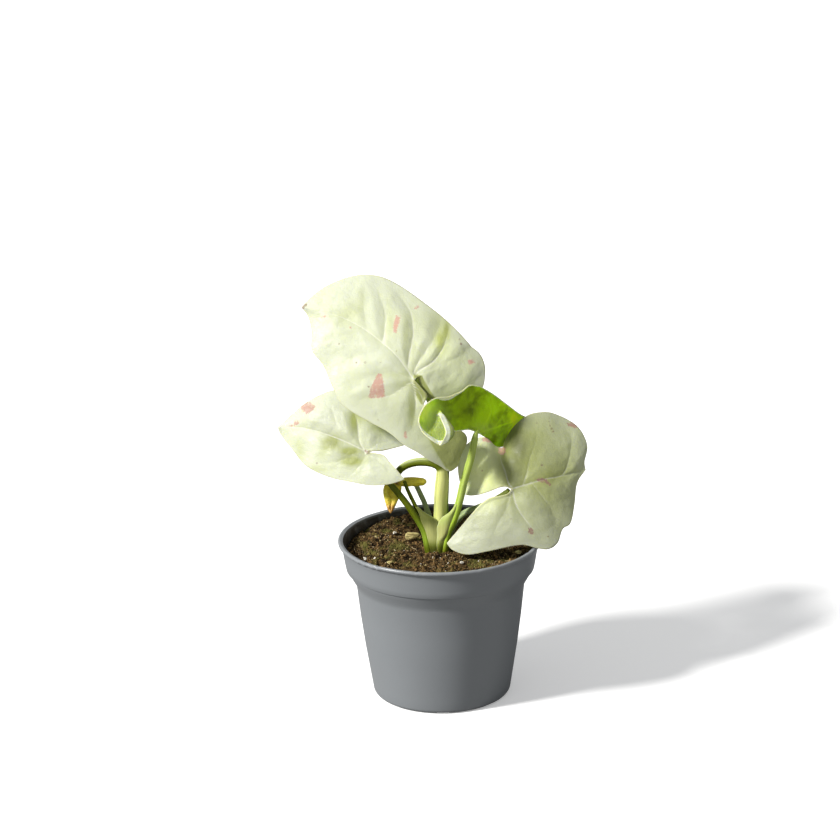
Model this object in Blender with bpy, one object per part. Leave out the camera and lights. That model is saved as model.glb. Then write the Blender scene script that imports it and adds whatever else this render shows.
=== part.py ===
"""Arrowhead plant in a tapered plastic nursery pot.

The frame's origin is the centre of the pot's underside, +Z is up and the front faces -Y.
Leaves and stems are laid out in a plane that leans back, as (right, up, near) in millimetres
from the crown, the point where the stems leave the soil.
"""
import math
import random

import bmesh
import bpy
from mathutils import Matrix, Vector

MM = 0.001

# Pot, in millimetres
RIM_RADIUS = 45.0
POT_HEIGHT = 71.7
WALL = 1.0
FLOOR = 1.4
FOOT_RADIUS = 28.3
COLLAR_BOTTOM_Z = 51.7
POT_SEGMENTS = 48
NOTCH_COUNT = 8
NOTCH_WIDTH = 5.3
NOTCH_HEIGHT = 0.8
NOTCH_DEPTH = 5.0
DRAIN_HOLE_RADIUS = 2.8
DRAIN_CIRCLE_RADIUS = 17.5

# Soil, in millimetres
GAP = 0.3
SOIL_CENTRE_Z = 65.7
SOIL_SLOPE = 0.06
SOIL_BROAD_LUMPS = 0.35
SOIL_SMALL_LUMPS = 0.2
SOIL_BOTTOM_Z = FLOOR + GAP
SOIL_RINGS = 6

# Plant, in millimetres and degrees
LEAN = 17.6
CROWN = (-1.0, 0.0, 66.0)
BLADE_THICKNESS = 0.7
LOBE_ROWS = 8
BLADE_ROWS = 9
COLUMNS = 4
STEM_SIDES_RESOLUTION = 2
STEM_STEPS = 13
CURVE_STEPS = 12

# Rootstock, in millimetres
STOCK_TOP_Z = 68.6
STOCK_BOTTOM_Z = 34.0
STOCK_RADIUS = 2.4
ROOT_COUNT = 7
ROOT_RADIUS = 1.1

# Colours, linear
PLASTIC_GREY = (0.13, 0.15, 0.18)
SOIL_BROWN = (0.05, 0.03, 0.02)
ROOT_TAN = (0.45, 0.36, 0.22)
LEAF_CREAM = (0.72, 0.80, 0.52)
LEAF_GREEN = (0.30, 0.47, 0.08)
STEM_GREEN = (0.34, 0.46, 0.14)
STEM_PALE = (0.62, 0.66, 0.30)
STEM_OLIVE = (0.16, 0.22, 0.05)
WITHERED_YELLOW = (0.70, 0.45, 0.08)
BARK_TAN = (0.42, 0.34, 0.16)
PERLITE_WHITE = (0.80, 0.78, 0.70)


# Blade outlines: the midrib runs from the joint to the tip. On each half, the margin runs
# from the tip to the shoulder, the lobe from the shoulder to the basal lobe's end, and the
# sinus from the joint to that same end. bulge is how far the half swells between them.
LEAVES = {
    "top": {
        "midrib": [(-9, 74.5, 22), (-17, 86, 21.5), (-30, 97, 17.5), (-41, 103, 14), (-50, 105.5, 11),
                   (-58, 107.5, 8)],
        "halves": [
            {
                "margin": [(-54.2, 111.5, 7), (-46, 117.2, 6), (-35, 121, 5), (-25, 121, 5), (-16, 117.2, 6),
                           (-5, 109.2, 9), (5.5, 100.5, 12)],
                "lobe": [(14, 91.5, 13), (16, 89, 12.5), (19.5, 86, 12), (21.5, 82, 12), (22, 77.5, 12),
                         (20.5, 70.5, 12.5), (14.5, 66.5, 14)],
                "sinus": [(-5.4, 76, 21.8), (-3.7, 72, 21), (-0.7, 67.5, 20), (7, 65, 17)],
                "bulge": 2.5,
            },
            {
                "margin": [(-55, 103.5, 8), (-53.5, 96, 10), (-53.5, 88.5, 13), (-48.5, 81.5, 15),
                           (-44.5, 72, 18), (-40, 64, 20)],
                "lobe": [(-30, 57.5, 22), (-20.5, 52, 23), (-14, 46.5, 23), (-8, 43, 22), (-3, 39.5, 20.5),
                         (1.5, 37, 18.5), (5.5, 34.5, 17), (9, 36.5, 16)],
                "sinus": [(-5.5, 70.5, 22), (-3.5, 67.5, 22), (-5, 63.5, 22), (-1, 58, 21), (5.5, 54.5, 19),
                          (12, 51.5, 17), (13.5, 47.5, 16.5), (10.5, 41, 16)],
                "bulge": 1.5,
            },
        ],
    },
    "left": {
        "midrib": [(-30, 43.5, 12), (-40, 48.5, 10), (-52, 53, 5), (-61, 55, 0), (-70, 55, -5)],
        "halves": [
            {
                "margin": [(-63.5, 60.5, -4), (-56.5, 66, -2), (-46.5, 70.5, 0), (-36.5, 71, 1)],
                "lobe": [(-28, 66.5, 2), (-19.5, 58.5, 4), (-14.5, 51, 6), (-13, 46.5, 8)],
                "sinus": [(-27.5, 44, 12), (-24, 44, 11.5), (-19, 45, 10)],
                "bulge": 2.0,
            },
            {
                "margin": [(-68, 51, -5), (-64, 46, -2), (-57.5, 38, 3), (-47.5, 33, 8)],
                "lobe": [(-37, 30.5, 12), (-28.5, 29, 14), (-20.5, 29.5, 15), (-14, 31.4, 15)],
                "sinus": [(-26.5, 43, 12.5), (-22.8, 42, 13), (-20.3, 38.9, 14), (-17, 35.2, 15)],
                "bulge": 1.5,
            },
        ],
    },
    "right": {
        "midrib": [(32.5, 26.5, 15), (39.5, 28.5, 16.5), (47.5, 30.5, 16), (56.5, 32, 12), (65.5, 34, 6)],
        "halves": [
            {
                "margin": [(65, 37.5, 5), (66.5, 45, 3), (62, 53.5, 2), (52, 59, 2), (45, 59.5, 2.5),
                           (40, 58, 3)],
                "lobe": [(34.5, 53.5, 3), (30.5, 47.5, 4), (29.5, 44.5, 6), (26, 45, 8), (22, 49, 9),
                         (16, 48, 8), (10.5, 42.5, 7), (9.5, 36, 6.5), (10.4, 29, 6.5), (12.6, 24, 6.8)],
                "sinus": [(30, 27.5, 14.5), (27, 27, 13), (23.5, 25.5, 11), (19, 24.1, 9), (15, 23.6, 7.6)],
                "bulge": 3.0,
            },
            {
                "margin": [(61.5, 28.5, 9), (60, 19, 11.5), (58, 11, 14), (54.5, 8.5, 15.5), (52, 2.5, 17.5)],
                "lobe": [(48, 0, 18.5), (43, 0.5, 18.5), (36, 2, 18), (22.5, -0.5, 15.5), (13, -2, 13),
                         (6.5, 0, 11), (4, 3, 9.5)],
                "sinus": [(31, 24.5, 15), (27.5, 23.5, 14.5), (22.5, 22.5, 14), (18, 19, 13), (11, 11, 11)],
                "bulge": 2.0,
            },
        ],
    },
    "young": {
        "midrib": [(17.5, 51.5, 16), (24, 53, 10), (30.5, 55, 3), (36.5, 56.5, -3), (41.5, 57, -7)],
        "halves": [
            {
                "margin": [(37, 59.5, -2), (31.5, 63.5, 6), (25.5, 68, 13), (19.5, 71.5, 19.5)],
                "rolled": [
                    [(14, 52.5, 19), (14, 59, 19.5), (14.5, 66, 21), (15, 72, 22.5)],
                    [(9.5, 52, 21.5), (10.5, 58, 22), (11, 64, 23.5), (11.5, 69.5, 25.5)],
                    [(5.5, 52.5, 22.5), (6.5, 58.5, 23.5), (8, 63, 24.5), (8, 68, 27.5)],
                    [(2.5, 55.5, 24), (4, 60.5, 25), (5.5, 64, 26), (5.5, 67, 29)],
                    [(0.5, 59, 27), (1.5, 61.5, 27), (0.5, 64, 28), (0, 66.5, 31)],
                    [(1.5, 59, 32.5), (3.5, 59.5, 30.5), (-1.5, 61, 28), (-5, 63, 33)],
                    [(2.5, 56.5, 34), (6, 56, 31.5), (-2.5, 56.5, 28.5), (-7.5, 57.5, 34)],
                    [(4, 52.5, 36), (8, 52, 33), (-2, 53, 30), (-6.5, 53, 35)],
                    [(3.5, 49.5, 37), (6.5, 48.5, 35), (0.5, 49.5, 33), (-3.5, 49.5, 36)],
                    [(1.5, 46, 36)],
                ],
                "bulge": -2.0,
            },
            {
                "margin": [(38.5, 52, -8), (33, 46.5, -5)],
                "lobe": [(28, 44.5, -1), (24, 46, 3)],
                "sinus": [(19.5, 50.8, 12.5), (21, 50.2, 9)],
                "bulge": 0.0,
            },
        ],
    },
}

# Stems: centre line from the base to the free end, and radius at the base, middle and end
STEMS = {
    "petiole_top": {
        "path": [(1.2, 1.8, -3.9), (3, 12, -2), (3.5, 21.5, 0), (4, 30.5, 3), (4, 38.5, 6.5),
                 (3.5, 48, 10.5), (1, 58, 14), (-2.2, 64.5, 15.8), (-4, 68.5, 16.6), (-5.6, 71.5, 17.4),
                 (-7.5, 74.1, 18.6), (-8.5, 74.8, 20)],
        "radii": (1.8, 1.6, 1.2),
        "colour": STEM_PALE,
    },
    "petiole_withered": {
        "path": [(0, 3.4, 1), (1.2, 15, 3), (1.7, 24, 6.5), (2.4, 31.5, 9.5), (1.8, 36, 11), (-1.5, 38, 11),
                 (-6.5, 38.5, 9.5), (-11, 37.5, 8), (-14.5, 35.5, 6.5), (-17.2, 32.7, 4.7)],
        "radii": (2.2, 2.5, 1.5),
        "colour": STEM_PALE,
    },
    "petiole_left": {
        "path": [(-4.4, 0.6, 1.6), (-5.8, 8, 3), (-10, 15.5, 5.5), (-14.5, 22, 7), (-20, 29, 9),
                 (-25.5, 37, 10), (-29, 42.1, 10.4)],
        "radii": (1.7, 1.5, 1.3),
        "colour": STEM_GREEN,
    },
    "petiole_young": {
        "path": [(2.9, 0, 3.4), (4.5, 7.5, 5), (7.5, 14, 7), (10, 22, 9.5), (12, 30.5, 12.5), (15, 40, 15.8),
                 (16.8, 48.5, 18), (17.2, 51, 17.9)],
        "radii": (1.8, 1.8, 1.5),
        "colour": STEM_GREEN,
    },
    "petiole_right": {
        "path": [(4.2, 1.7, -1.2), (6.5, 9, -1), (11, 15, 1.5), (17, 18.2, 5), (22.5, 21, 8.5),
                 (27.5, 23.6, 11.5), (31, 25.8, 13.1)],
        "radii": (1.6, 1.4, 1.2),
        "colour": STEM_GREEN,
    },
    "petiole_stub_left": {
        "path": [(-9, 18.3, 4.6), (-11, 22.5, 5.8), (-13, 27, 6.8), (-14.2, 30.5, 7)],
        "radii": (0.9, 0.8, 0.7),
        "colour": STEM_OLIVE,
    },
    "petiole_stub_back": {
        "path": [(-3, 1.6, -2.4), (-3.2, 8, -2.8), (-4, 15.5, -3), (-5.5, 20.5, -2.5), (-7, 24, -2),
                 (-9.2, 28.8, -1.4)],
        "radii": (1.1, 1.0, 0.8),
        "colour": STEM_OLIVE,
    },
}

WITHERED_BLADE = {
    "midrib": [(-18.5, 30.5, 3.5), (-19.5, 26.5, 4.5), (-20, 22, 5.5), (-20.5, 16.5, 6)],
    "sides": [
        [(-22, 30.5, 4.5), (-23.5, 27, 5), (-23, 22.5, 5.5), (-22, 19, 6)],
        [(-15.5, 28, 3), (-16, 25, 4), (-17.5, 21.5, 5), (-19, 18.5, 5.5)],
    ],
    "rolled_lobe": [(-18, 30.5, 3), (-14.5, 30, 2.5), (-9.5, 30, 2), (-4.5, 30, 1.2)],
    "rolled_radii": (1.4, 2.1, 1.5),
}

# Loose pieces on the soil: place, length, width, height, turn in degrees, colour
LOOSE_PIECES = {
    "bark_chip_left": ((-12.2, 9.0), 8.0, 4.0, 4.8, 8, BARK_TAN),
    "bark_chip_right": ((34.0, -9.0), 4.2, 2.8, 2.0, 25, BARK_TAN),
    "bark_chip_front": ((-22.0, -16.0), 3.0, 2.4, 1.8, -20, BARK_TAN),
    "perlite_grain_back": ((-20.0, 17.0), 2.0, 1.7, 1.6, 0, PERLITE_WHITE),
    "perlite_grain_left": ((-33.0, -11.0), 2.2, 1.8, 1.6, 40, PERLITE_WHITE),
    "perlite_grain_middle": ((-28.6, -11.4), 1.8, 1.5, 1.4, 75, PERLITE_WHITE),
    "perlite_grain_front": ((9.4, -17.5), 2.2, 1.8, 1.6, 15, PERLITE_WHITE),
    "perlite_grain_right": ((25.0, 18.0), 2.0, 1.6, 1.4, 60, PERLITE_WHITE),
}


def clear_scene():
    for item in list(bpy.data.objects):
        bpy.data.objects.remove(item, do_unlink=True)


def make_material(name, colour, roughness):
    material = bpy.data.materials.new(name)
    material.use_nodes = True
    shader = material.node_tree.nodes["Principled BSDF"]
    shader.inputs["Base Color"].default_value = (*colour, 1.0)
    shader.inputs["Roughness"].default_value = roughness
    shader.inputs["Metallic"].default_value = 0.0
    return material


def add_object(name, data, colour=None, roughness=0.6):
    """Put mesh or curve data in the scene as an object with its own material."""
    item = bpy.data.objects.new(name, data)
    bpy.context.scene.collection.objects.link(item)
    if colour is not None:
        data.materials.append(make_material(name + "_finish", colour, roughness))
    return item


def mesh_from(bm, name, smooth_angle=None):
    mesh = bpy.data.meshes.new(name)
    bm.to_mesh(mesh)
    bm.free()
    if smooth_angle is not None:
        mesh.shade_smooth()
        mesh.set_sharp_from_angle(angle=math.radians(smooth_angle))
    return mesh


def mark_as_cutter(item):
    item.hide_render = True
    item.display_type = "WIRE"


def combine(item, other, operation):
    """Add a Boolean of the other object, which stays in the scene as a guide."""
    mark_as_cutter(other)
    modifier = item.modifiers.new(operation.lower(), "BOOLEAN")
    modifier.operation = operation
    modifier.object = other


def leaf_frame():
    """Matrix from (right, up, near) millimetres at the crown to metres in the part's frame."""
    lean = math.radians(LEAN)
    right = Vector((1, 0, 0))
    up = Vector((0, math.sin(lean), math.cos(lean)))
    near = Vector((0, -math.cos(lean), math.sin(lean)))
    turn = Matrix((right, up, near)).transposed().to_4x4()
    return Matrix.Scale(MM, 4) @ Matrix.Translation(CROWN) @ turn


def smooth_line(points):
    """Catmull-Rom curve through the points, with CURVE_STEPS steps between each pair."""
    points = [Vector(point) for point in points]
    padded = [points[0] * 2 - points[1]] + points + [points[-1] * 2 - points[-2]]
    line = []
    for a, b, c, d in zip(padded, padded[1:], padded[2:], padded[3:]):
        for step in range(CURVE_STEPS):
            t = step / CURVE_STEPS
            line.append(0.5 * (2 * b + (c - a) * t + (2 * a - 5 * b + 4 * c - d) * t ** 2
                               + (3 * b - a - 3 * c + d) * t ** 3))
    line.append(points[-1])
    return line


def evenly(line, count):
    """Resample a polyline to count equal steps."""
    lengths = [0.0]
    for first, second in zip(line, line[1:]):
        lengths.append(lengths[-1] + (second - first).length)
    result = []
    index = 0
    for step in range(count + 1):
        target = lengths[-1] * step / count
        while index < len(line) - 2 and lengths[index + 1] < target:
            index += 1
        span = lengths[index + 1] - lengths[index]
        result.append(line[index].lerp(line[index + 1], min(1.0, (target - lengths[index]) / span)))
    return result


def across(inner, outer, bulge):
    """Points from the midrib side to the margin, swollen by the bulge vector in between."""
    return [inner.lerp(outer, column / COLUMNS) + bulge * math.sin(math.pi * column / COLUMNS)
            for column in range(COLUMNS + 1)]


def blade_half(midrib, half):
    """Rows of points from the basal lobe's end, past the joint, to the leaf's tip."""
    joint, tip = Vector(midrib[0]), Vector(midrib[-1])
    rib = evenly(smooth_line(midrib), BLADE_ROWS)
    shoulder = Vector(half["margin"][-1])
    swell = (shoulder - joint).cross(tip - joint).normalized()
    swell *= half["bulge"] * (1 if swell.z > 0 else -1)
    rolled = half.get("rolled")
    outline = [midrib[-1]] + half["margin"] + half.get("lobe", [])
    margin = smooth_line(outline)
    turn = len(half["margin"]) * CURVE_STEPS
    outer = evenly(margin[turn::-1], BLADE_ROWS)
    rows = []
    for index, (near_rib, at_margin) in enumerate(zip(rib, outer)):
        rows.append(across(near_rib, at_margin, swell * (1 - index / BLADE_ROWS)))
    if rolled:
        ribs = [[rows[0][0], rows[0][1], rows[0][3], rows[0][4]]] + rolled
        lobe_rows = net_rows(ribs)
    else:
        sinus = evenly(smooth_line([midrib[0]] + half["sinus"] + [half["lobe"][-1]]), LOBE_ROWS)
        lobe = evenly(margin[turn:], LOBE_ROWS)
        lobe_rows = [across(a, b, swell * (1 - index / LOBE_ROWS))
                     for index, (a, b) in enumerate(zip(sinus, lobe))]
    return lobe_rows[:0:-1] + rows


def net_rows(ribs):
    """Rows through a net of ribs, the last of which may be a single point."""
    ribs = [rib if len(rib) > 1 else rib * 4 for rib in ribs]
    columns = []
    for column in range(4):
        line = smooth_line([rib[column] for rib in ribs])
        columns.append(line[::CURVE_STEPS])
    rows = []
    for points in zip(*columns):
        if (points[0] - points[-1]).length < MM:
            rows.append([points[0]] * (COLUMNS + 1))
        else:
            line = smooth_line(points)
            rows.append(evenly(line, COLUMNS))
    return rows


def sheet_mesh(grids, name):
    """Join grids of points into one sheet mesh, in the part's frame."""
    place = leaf_frame()
    bm = bmesh.new()
    for rows in grids:
        verts = [[bm.verts.new(place @ point) for point in row] for row in rows]
        for upper, lower in zip(verts, verts[1:]):
            for a, b, c, d in zip(upper, upper[1:], lower[1:], lower):
                bm.faces.new((a, b, c, d))
    bmesh.ops.remove_doubles(bm, verts=bm.verts, dist=0.02 * MM)
    bmesh.ops.dissolve_degenerate(bm, dist=0.01 * MM, edges=bm.edges)
    bmesh.ops.triangulate(bm, faces=bm.faces)
    bmesh.ops.recalc_face_normals(bm, faces=bm.faces)
    return mesh_from(bm, name, smooth_angle=60)


def thicken(item, thickness):
    solid = item.modifiers.new("thickness", "SOLIDIFY")
    solid.thickness = thickness * MM
    solid.offset = 0.0


def make_blade(name, leaf, colour):
    grids = [blade_half(leaf["midrib"], half) for half in leaf["halves"]]
    item = add_object(name, sheet_mesh(grids, name), colour, 0.45)
    thicken(item, BLADE_THICKNESS)
    return item


def tube_data(name, path, radii, steps, sides_resolution=STEM_SIDES_RESOLUTION):
    """Round tube along a path in metres, with radii in millimetres at base, middle and end."""
    curve = bpy.data.curves.new(name, "CURVE")
    curve.dimensions = "3D"
    curve.bevel_depth = MM
    curve.bevel_resolution = sides_resolution
    curve.use_fill_caps = True
    spline = curve.splines.new("POLY")
    points = evenly(smooth_line(path), steps)
    spline.points.add(len(points) - 1)
    base, middle, end = radii
    for index, point in enumerate(points):
        t = index / steps
        radius = base + (middle - base) * 2 * t if t < 0.5 else middle + (end - middle) * (2 * t - 1)
        spline.points[index].co = (*point, 1.0)
        spline.points[index].radius = radius
    return curve


def make_stem(name, stem):
    place = leaf_frame()
    path = [place @ Vector(point) for point in stem["path"]]
    return add_object(name, tube_data(name, path, stem["radii"], STEM_STEPS), stem["colour"], 0.45)


def make_withered_leaf():
    """Hanging withered blade, in one piece with its rolled basal lobe."""
    place = leaf_frame()
    rib = evenly(smooth_line(WITHERED_BLADE["midrib"]), 5)
    grids = []
    for side in WITHERED_BLADE["sides"]:
        edge = evenly(smooth_line(side + [WITHERED_BLADE["midrib"][-1]]), 5)
        grids.append([[a, a.lerp(b, 0.5), b] for a, b in zip(rib, edge)])
    item = add_object("blade_withered", sheet_mesh(grids, "blade_withered"), WITHERED_YELLOW, 0.6)
    thicken(item, BLADE_THICKNESS)
    path = [place @ Vector(point) for point in WITHERED_BLADE["rolled_lobe"]]
    lobe = add_object("rolled_lobe_guide", tube_data("rolled_lobe", path, WITHERED_BLADE["rolled_radii"], 6))
    join_tube(item, lobe)
    return item


def join_tube(item, curve_item):
    """Union with a curve's tube, taken as a mesh."""
    mesh = bpy.data.meshes.new_from_object(curve_item)
    bpy.data.objects.remove(curve_item, do_unlink=True)
    guide = add_object(mesh.name + "_guide", mesh)
    combine(item, guide, "UNION")


def turned(profile, segments, name, smooth_angle=35):
    """Turn a profile of (radius, height) in millimetres about +Z into a closed solid."""
    bm = bmesh.new()
    verts = [bm.verts.new((radius * MM, 0, height * MM)) for radius, height in profile]
    edges = [bm.edges.new(pair) for pair in zip(verts, verts[1:])]
    bmesh.ops.spin(bm, geom=verts + edges, cent=(0, 0, 0), axis=(0, 0, 1), angle=2 * math.pi,
                   steps=segments, use_merge=True)
    bmesh.ops.remove_doubles(bm, verts=bm.verts, dist=0.01 * MM)
    bmesh.ops.recalc_face_normals(bm, faces=bm.faces)
    return mesh_from(bm, name, smooth_angle)


def arc(centre, radius, start, end, steps):
    """Points of an arc as (radius, height), with angles in degrees."""
    return [(centre[0] + radius * math.cos(math.radians(start + (end - start) * step / steps)),
             centre[1] + radius * math.sin(math.radians(start + (end - start) * step / steps)))
            for step in range(steps + 1)]


def pot_outside():
    """Outer profile from the underside's centre up to the rim."""
    lip = 0.85
    return [(0, 0), (DRAIN_CIRCLE_RADIUS, 0), *arc((FOOT_RADIUS, 2.4), 2.4, -90, -10, 3),
            (33.9, 22.8), (37.4, COLLAR_BOTTOM_Z), (41.2, COLLAR_BOTTOM_Z + 5.9),
            (42.1, 61.0), (42.9, 66.0), (43.5, 68.8), (44.2, 70.1),
            *arc((RIM_RADIUS - lip, POT_HEIGHT - lip), lip, -30, 120, 4)]


def pot_inside():
    """Inner profile from the rim down to the floor's centre."""
    return [(RIM_RADIUS - 2.1, POT_HEIGHT - 0.5), (42.5, 69.0), (41.9, 66.0), (41.1, 61.0), (40.2, 58.4),
            (37.4 - WALL, COLLAR_BOTTOM_Z + 0.4), (33.9 - WALL, 22.8), (29.6, FLOOR + 1.2), (28.6, FLOOR),
            (0, FLOOR)]


def make_pot():
    pot = add_object("nursery_pot", turned(pot_outside() + pot_inside(), POT_SEGMENTS, "nursery_pot"),
                     PLASTIC_GREY, 0.4)
    bm = bmesh.new()
    for index in range(NOTCH_COUNT):
        angle = 2 * math.pi * index / NOTCH_COUNT - math.pi / 2
        turn = Matrix.Rotation(angle, 4, "Z")
        notch = Matrix.Translation(((FOOT_RADIUS + 2.4) * MM, 0, 0))
        size = Matrix.Diagonal((2 * NOTCH_DEPTH * MM, NOTCH_WIDTH * MM, 2 * NOTCH_HEIGHT * MM, 1))
        bmesh.ops.create_cube(bm, size=1.0, matrix=turn @ notch @ size)
        hole = Matrix.Rotation(math.pi / NOTCH_COUNT, 4, "Z") @ turn @ Matrix.Translation(
            (DRAIN_CIRCLE_RADIUS * MM, 0, 0))
        bmesh.ops.create_cone(bm, segments=12, cap_ends=True, radius1=DRAIN_HOLE_RADIUS * MM,
                              radius2=DRAIN_HOLE_RADIUS * MM, depth=4 * FLOOR * MM, matrix=hole)
    combine(pot, add_object("foot_cutters", mesh_from(bm, "foot_cutters")), "DIFFERENCE")
    return pot


def soil_height(x, y):
    """Height of the soil's surface over a point, all in millimetres."""
    broad = SOIL_BROAD_LUMPS * math.sin(0.31 * x + 0.8) * math.cos(0.27 * y)
    small = SOIL_SMALL_LUMPS * math.sin(0.63 * x - 0.52 * y)
    return SOIL_CENTRE_Z + SOIL_SLOPE * y + broad + small


def make_soil():
    """Soil that fills the pot up to a lumpy surface, with the rootstock's cavity in it."""
    side = [(0, SOIL_BOTTOM_Z), (28.0, SOIL_BOTTOM_Z), (29.4 - GAP, SOIL_BOTTOM_Z + 1.2), (32.8 - GAP, 22.8),
            (36.4 - GAP, COLLAR_BOTTOM_Z + 0.4), (40.2 - GAP, 58.4), (41.1 - GAP, 61.0), (41.25 - GAP, 62.0)]
    edge = side[-1][0] + 0.2
    surface = [(edge * ring / SOIL_RINGS, POT_HEIGHT) for ring in range(SOIL_RINGS, -1, -1)]
    mesh = turned(side + surface, POT_SEGMENTS, "potting_soil", 50)
    for vertex in mesh.vertices:
        if vertex.co.z > (POT_HEIGHT - 1) * MM:
            vertex.co.z = soil_height(vertex.co.x / MM, vertex.co.y / MM) * MM
    soil = add_object("potting_soil", mesh, SOIL_BROWN, 0.95)
    combine(soil, rootstock_object("root_cavity", GAP), "DIFFERENCE")
    return soil


def stock_profile(spare):
    return [(0, STOCK_BOTTOM_Z - spare), (1.2 + spare, STOCK_BOTTOM_Z - spare), (3.2 + spare, 48.0),
            (3.0 + spare, 60.0), (STOCK_RADIUS + spare, 65.0), (STOCK_RADIUS + spare, STOCK_TOP_Z + spare),
            (0, STOCK_TOP_Z + spare)]


def rootstock_object(name, spare, colour=None):
    """Short underground stem with its roots, or with spare above 0 the cavity that they lie in."""
    stock = add_object(name, turned(stock_profile(spare), 10, name), colour, 0.8)
    stock.data.transform(Matrix.Translation((CROWN[0] * MM, CROWN[1] * MM, 0)))
    for index in range(ROOT_COUNT):
        angle = 2 * math.pi * (index + 0.3) / ROOT_COUNT
        start_z = 58.0 - 18.0 * (index % 3) / 2
        reach = 20.0 + 5.0 * (index % 2)
        path = []
        for part, drop in ((0.06, 0.0), (0.3, 3.0), (0.6, 9.0), (0.85, 18.0), (1.0, 25.0)):
            bend = angle + 0.5 * part * (-1) ** index
            path.append(Vector(((CROWN[0] + reach * part * math.cos(bend)) * MM,
                                (CROWN[1] + reach * part * math.sin(bend)) * MM, (start_z - drop) * MM)))
        radii = [radius + spare for radius in (ROOT_RADIUS, 0.8 * ROOT_RADIUS, 0.35 * ROOT_RADIUS)]
        if spare:
            path[-1] += (path[-1] - path[-2]).normalized() * spare * MM
        root = add_object(name + "_root", tube_data(name + "_root", path, radii, 7, 1))
        join_tube(stock, root)
    return stock


def make_loose_piece(name, place, length, width, height, turn, colour, seed):
    """Irregular chip or grain that lies on the soil."""
    draw = random.Random(seed)
    bm = bmesh.new()
    for _ in range(14):
        direction = Vector([draw.gauss(0, 1) for _ in range(3)]).normalized()
        bm.verts.new(direction * draw.uniform(0.42, 0.5))
    hull = bmesh.ops.convex_hull(bm, input=bm.verts)
    loose = [item for item in hull["geom_interior"] if isinstance(item, bmesh.types.BMVert)]
    bmesh.ops.delete(bm, geom=loose, context="VERTS")
    lowest = min(vert.co.z for vert in bm.verts)
    x, y = place
    base = soil_height(x, y) + 2 * GAP
    size = Matrix.Diagonal((length * MM, width * MM, height * MM, 1))
    spot = Matrix.Translation((x * MM, y * MM, base * MM)) @ Matrix.Rotation(math.radians(turn), 4, "Z")
    bm.transform(spot @ size @ Matrix.Translation((0, 0, -lowest)))
    bmesh.ops.recalc_face_normals(bm, faces=bm.faces)
    return add_object(name, mesh_from(bm, name), colour, 0.9)


def main():
    clear_scene()
    make_pot()
    make_soil()
    rootstock_object("rootstock", 0.0, ROOT_TAN)
    for name, stem in STEMS.items():
        make_stem(name, stem)
    for name, leaf in LEAVES.items():
        make_blade("blade_" + name, leaf, LEAF_GREEN if name == "young" else LEAF_CREAM)
    make_withered_leaf()
    for seed, (name, values) in enumerate(LOOSE_PIECES.items()):
        make_loose_piece(name, *values, seed)


main()
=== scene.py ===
"""Looks for a young arrowhead plant in its nursery pot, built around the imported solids.

Lengths in the shape tables are millimetres. Leaves and stalks are laid out in a plane that
leans back, as (right, up, near) from the crown, the point where the stalks leave the soil.
"""
import math

import bmesh
import bpy
import numpy as np
from mathutils import Matrix, Vector, noise


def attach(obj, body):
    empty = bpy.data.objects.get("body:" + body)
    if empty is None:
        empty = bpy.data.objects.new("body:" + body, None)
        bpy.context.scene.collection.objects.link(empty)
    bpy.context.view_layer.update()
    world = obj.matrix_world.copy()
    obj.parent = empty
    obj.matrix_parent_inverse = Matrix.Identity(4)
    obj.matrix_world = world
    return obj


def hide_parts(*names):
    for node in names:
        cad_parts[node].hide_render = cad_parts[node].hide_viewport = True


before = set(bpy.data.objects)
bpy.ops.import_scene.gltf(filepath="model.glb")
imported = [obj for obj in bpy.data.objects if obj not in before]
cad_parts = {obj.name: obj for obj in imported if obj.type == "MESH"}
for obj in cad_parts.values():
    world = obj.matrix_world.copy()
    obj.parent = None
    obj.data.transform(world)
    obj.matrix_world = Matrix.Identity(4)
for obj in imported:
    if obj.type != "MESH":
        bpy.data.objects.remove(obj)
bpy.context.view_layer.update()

bl_info = {
    "name": "Potted Arrowhead Plant",
    "version": (1, 0, 0),
    "blender": (4, 5, 0),
    "location": "3D View > Sidebar > Plant",
    "description": "Builds a young arrowhead plant in its nursery pot",
    "category": "Object",
}

MM = 0.001
TINY = 1e-9
LEAN = math.radians(17.6)
TOWARDS_VIEWER = Vector((0, -math.cos(LEAN), math.sin(LEAN)))
CROWN = Vector((-1.0, 0.0, 66.0))

# Pot, in millimetres
RIM_RADIUS = 45.0
POT_HEIGHT = 71.7
FLOOR = 1.4
WALL = 1.0
FOOT_RADIUS = 28.3
FOOT_CURVE = 2.4
COLLAR_BOTTOM_Z = 51.7
COLLAR_RADIUS = 41.5
CREASE_Z = 58.4
LIP_RADIUS = 0.85
LIP_BAND = 1.9
CENTRE_RADIUS = 0.4
NOTCH_COUNT = 8
NOTCH_WIDTH = 5.3
NOTCH_HEIGHT = 0.8
DRAIN_HOLE_RADIUS = 2.8
DRAIN_CIRCLE_RADIUS = 17.5
POT_SEGMENTS = 256

# Largest angle between two faces that is still shaded smooth, and how many points of the pot's
# profile lie inside, below the lip
SHARPEST_SMOOTH = math.radians(32)
POINTS_BELOW_LIP = 10

# Nicks in the lip: angle from the front and reach in degrees, and share of the full depth
LIP_NICKS = ((-54.0, 1.2, 0.8), (-48.5, 1.0, 1.0), (-42.5, 1.6, 0.7), (-38.0, 0.9, 0.9), (-14.5, 0.9, 0.7),
             (-10.5, 1.2, 0.5), (21.0, 0.9, 0.5), (63.0, 1.4, 0.6), (118.0, 1.5, 0.7), (-160.0, 1.2, 0.6))

# Soil, in millimetres
GAP = 0.3
SOIL_CENTRE_Z = 65.7
SOIL_SLOPE = 0.06
SOIL_RADIUS = 41.2
SCATTER_RADIUS = 40.8

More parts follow.
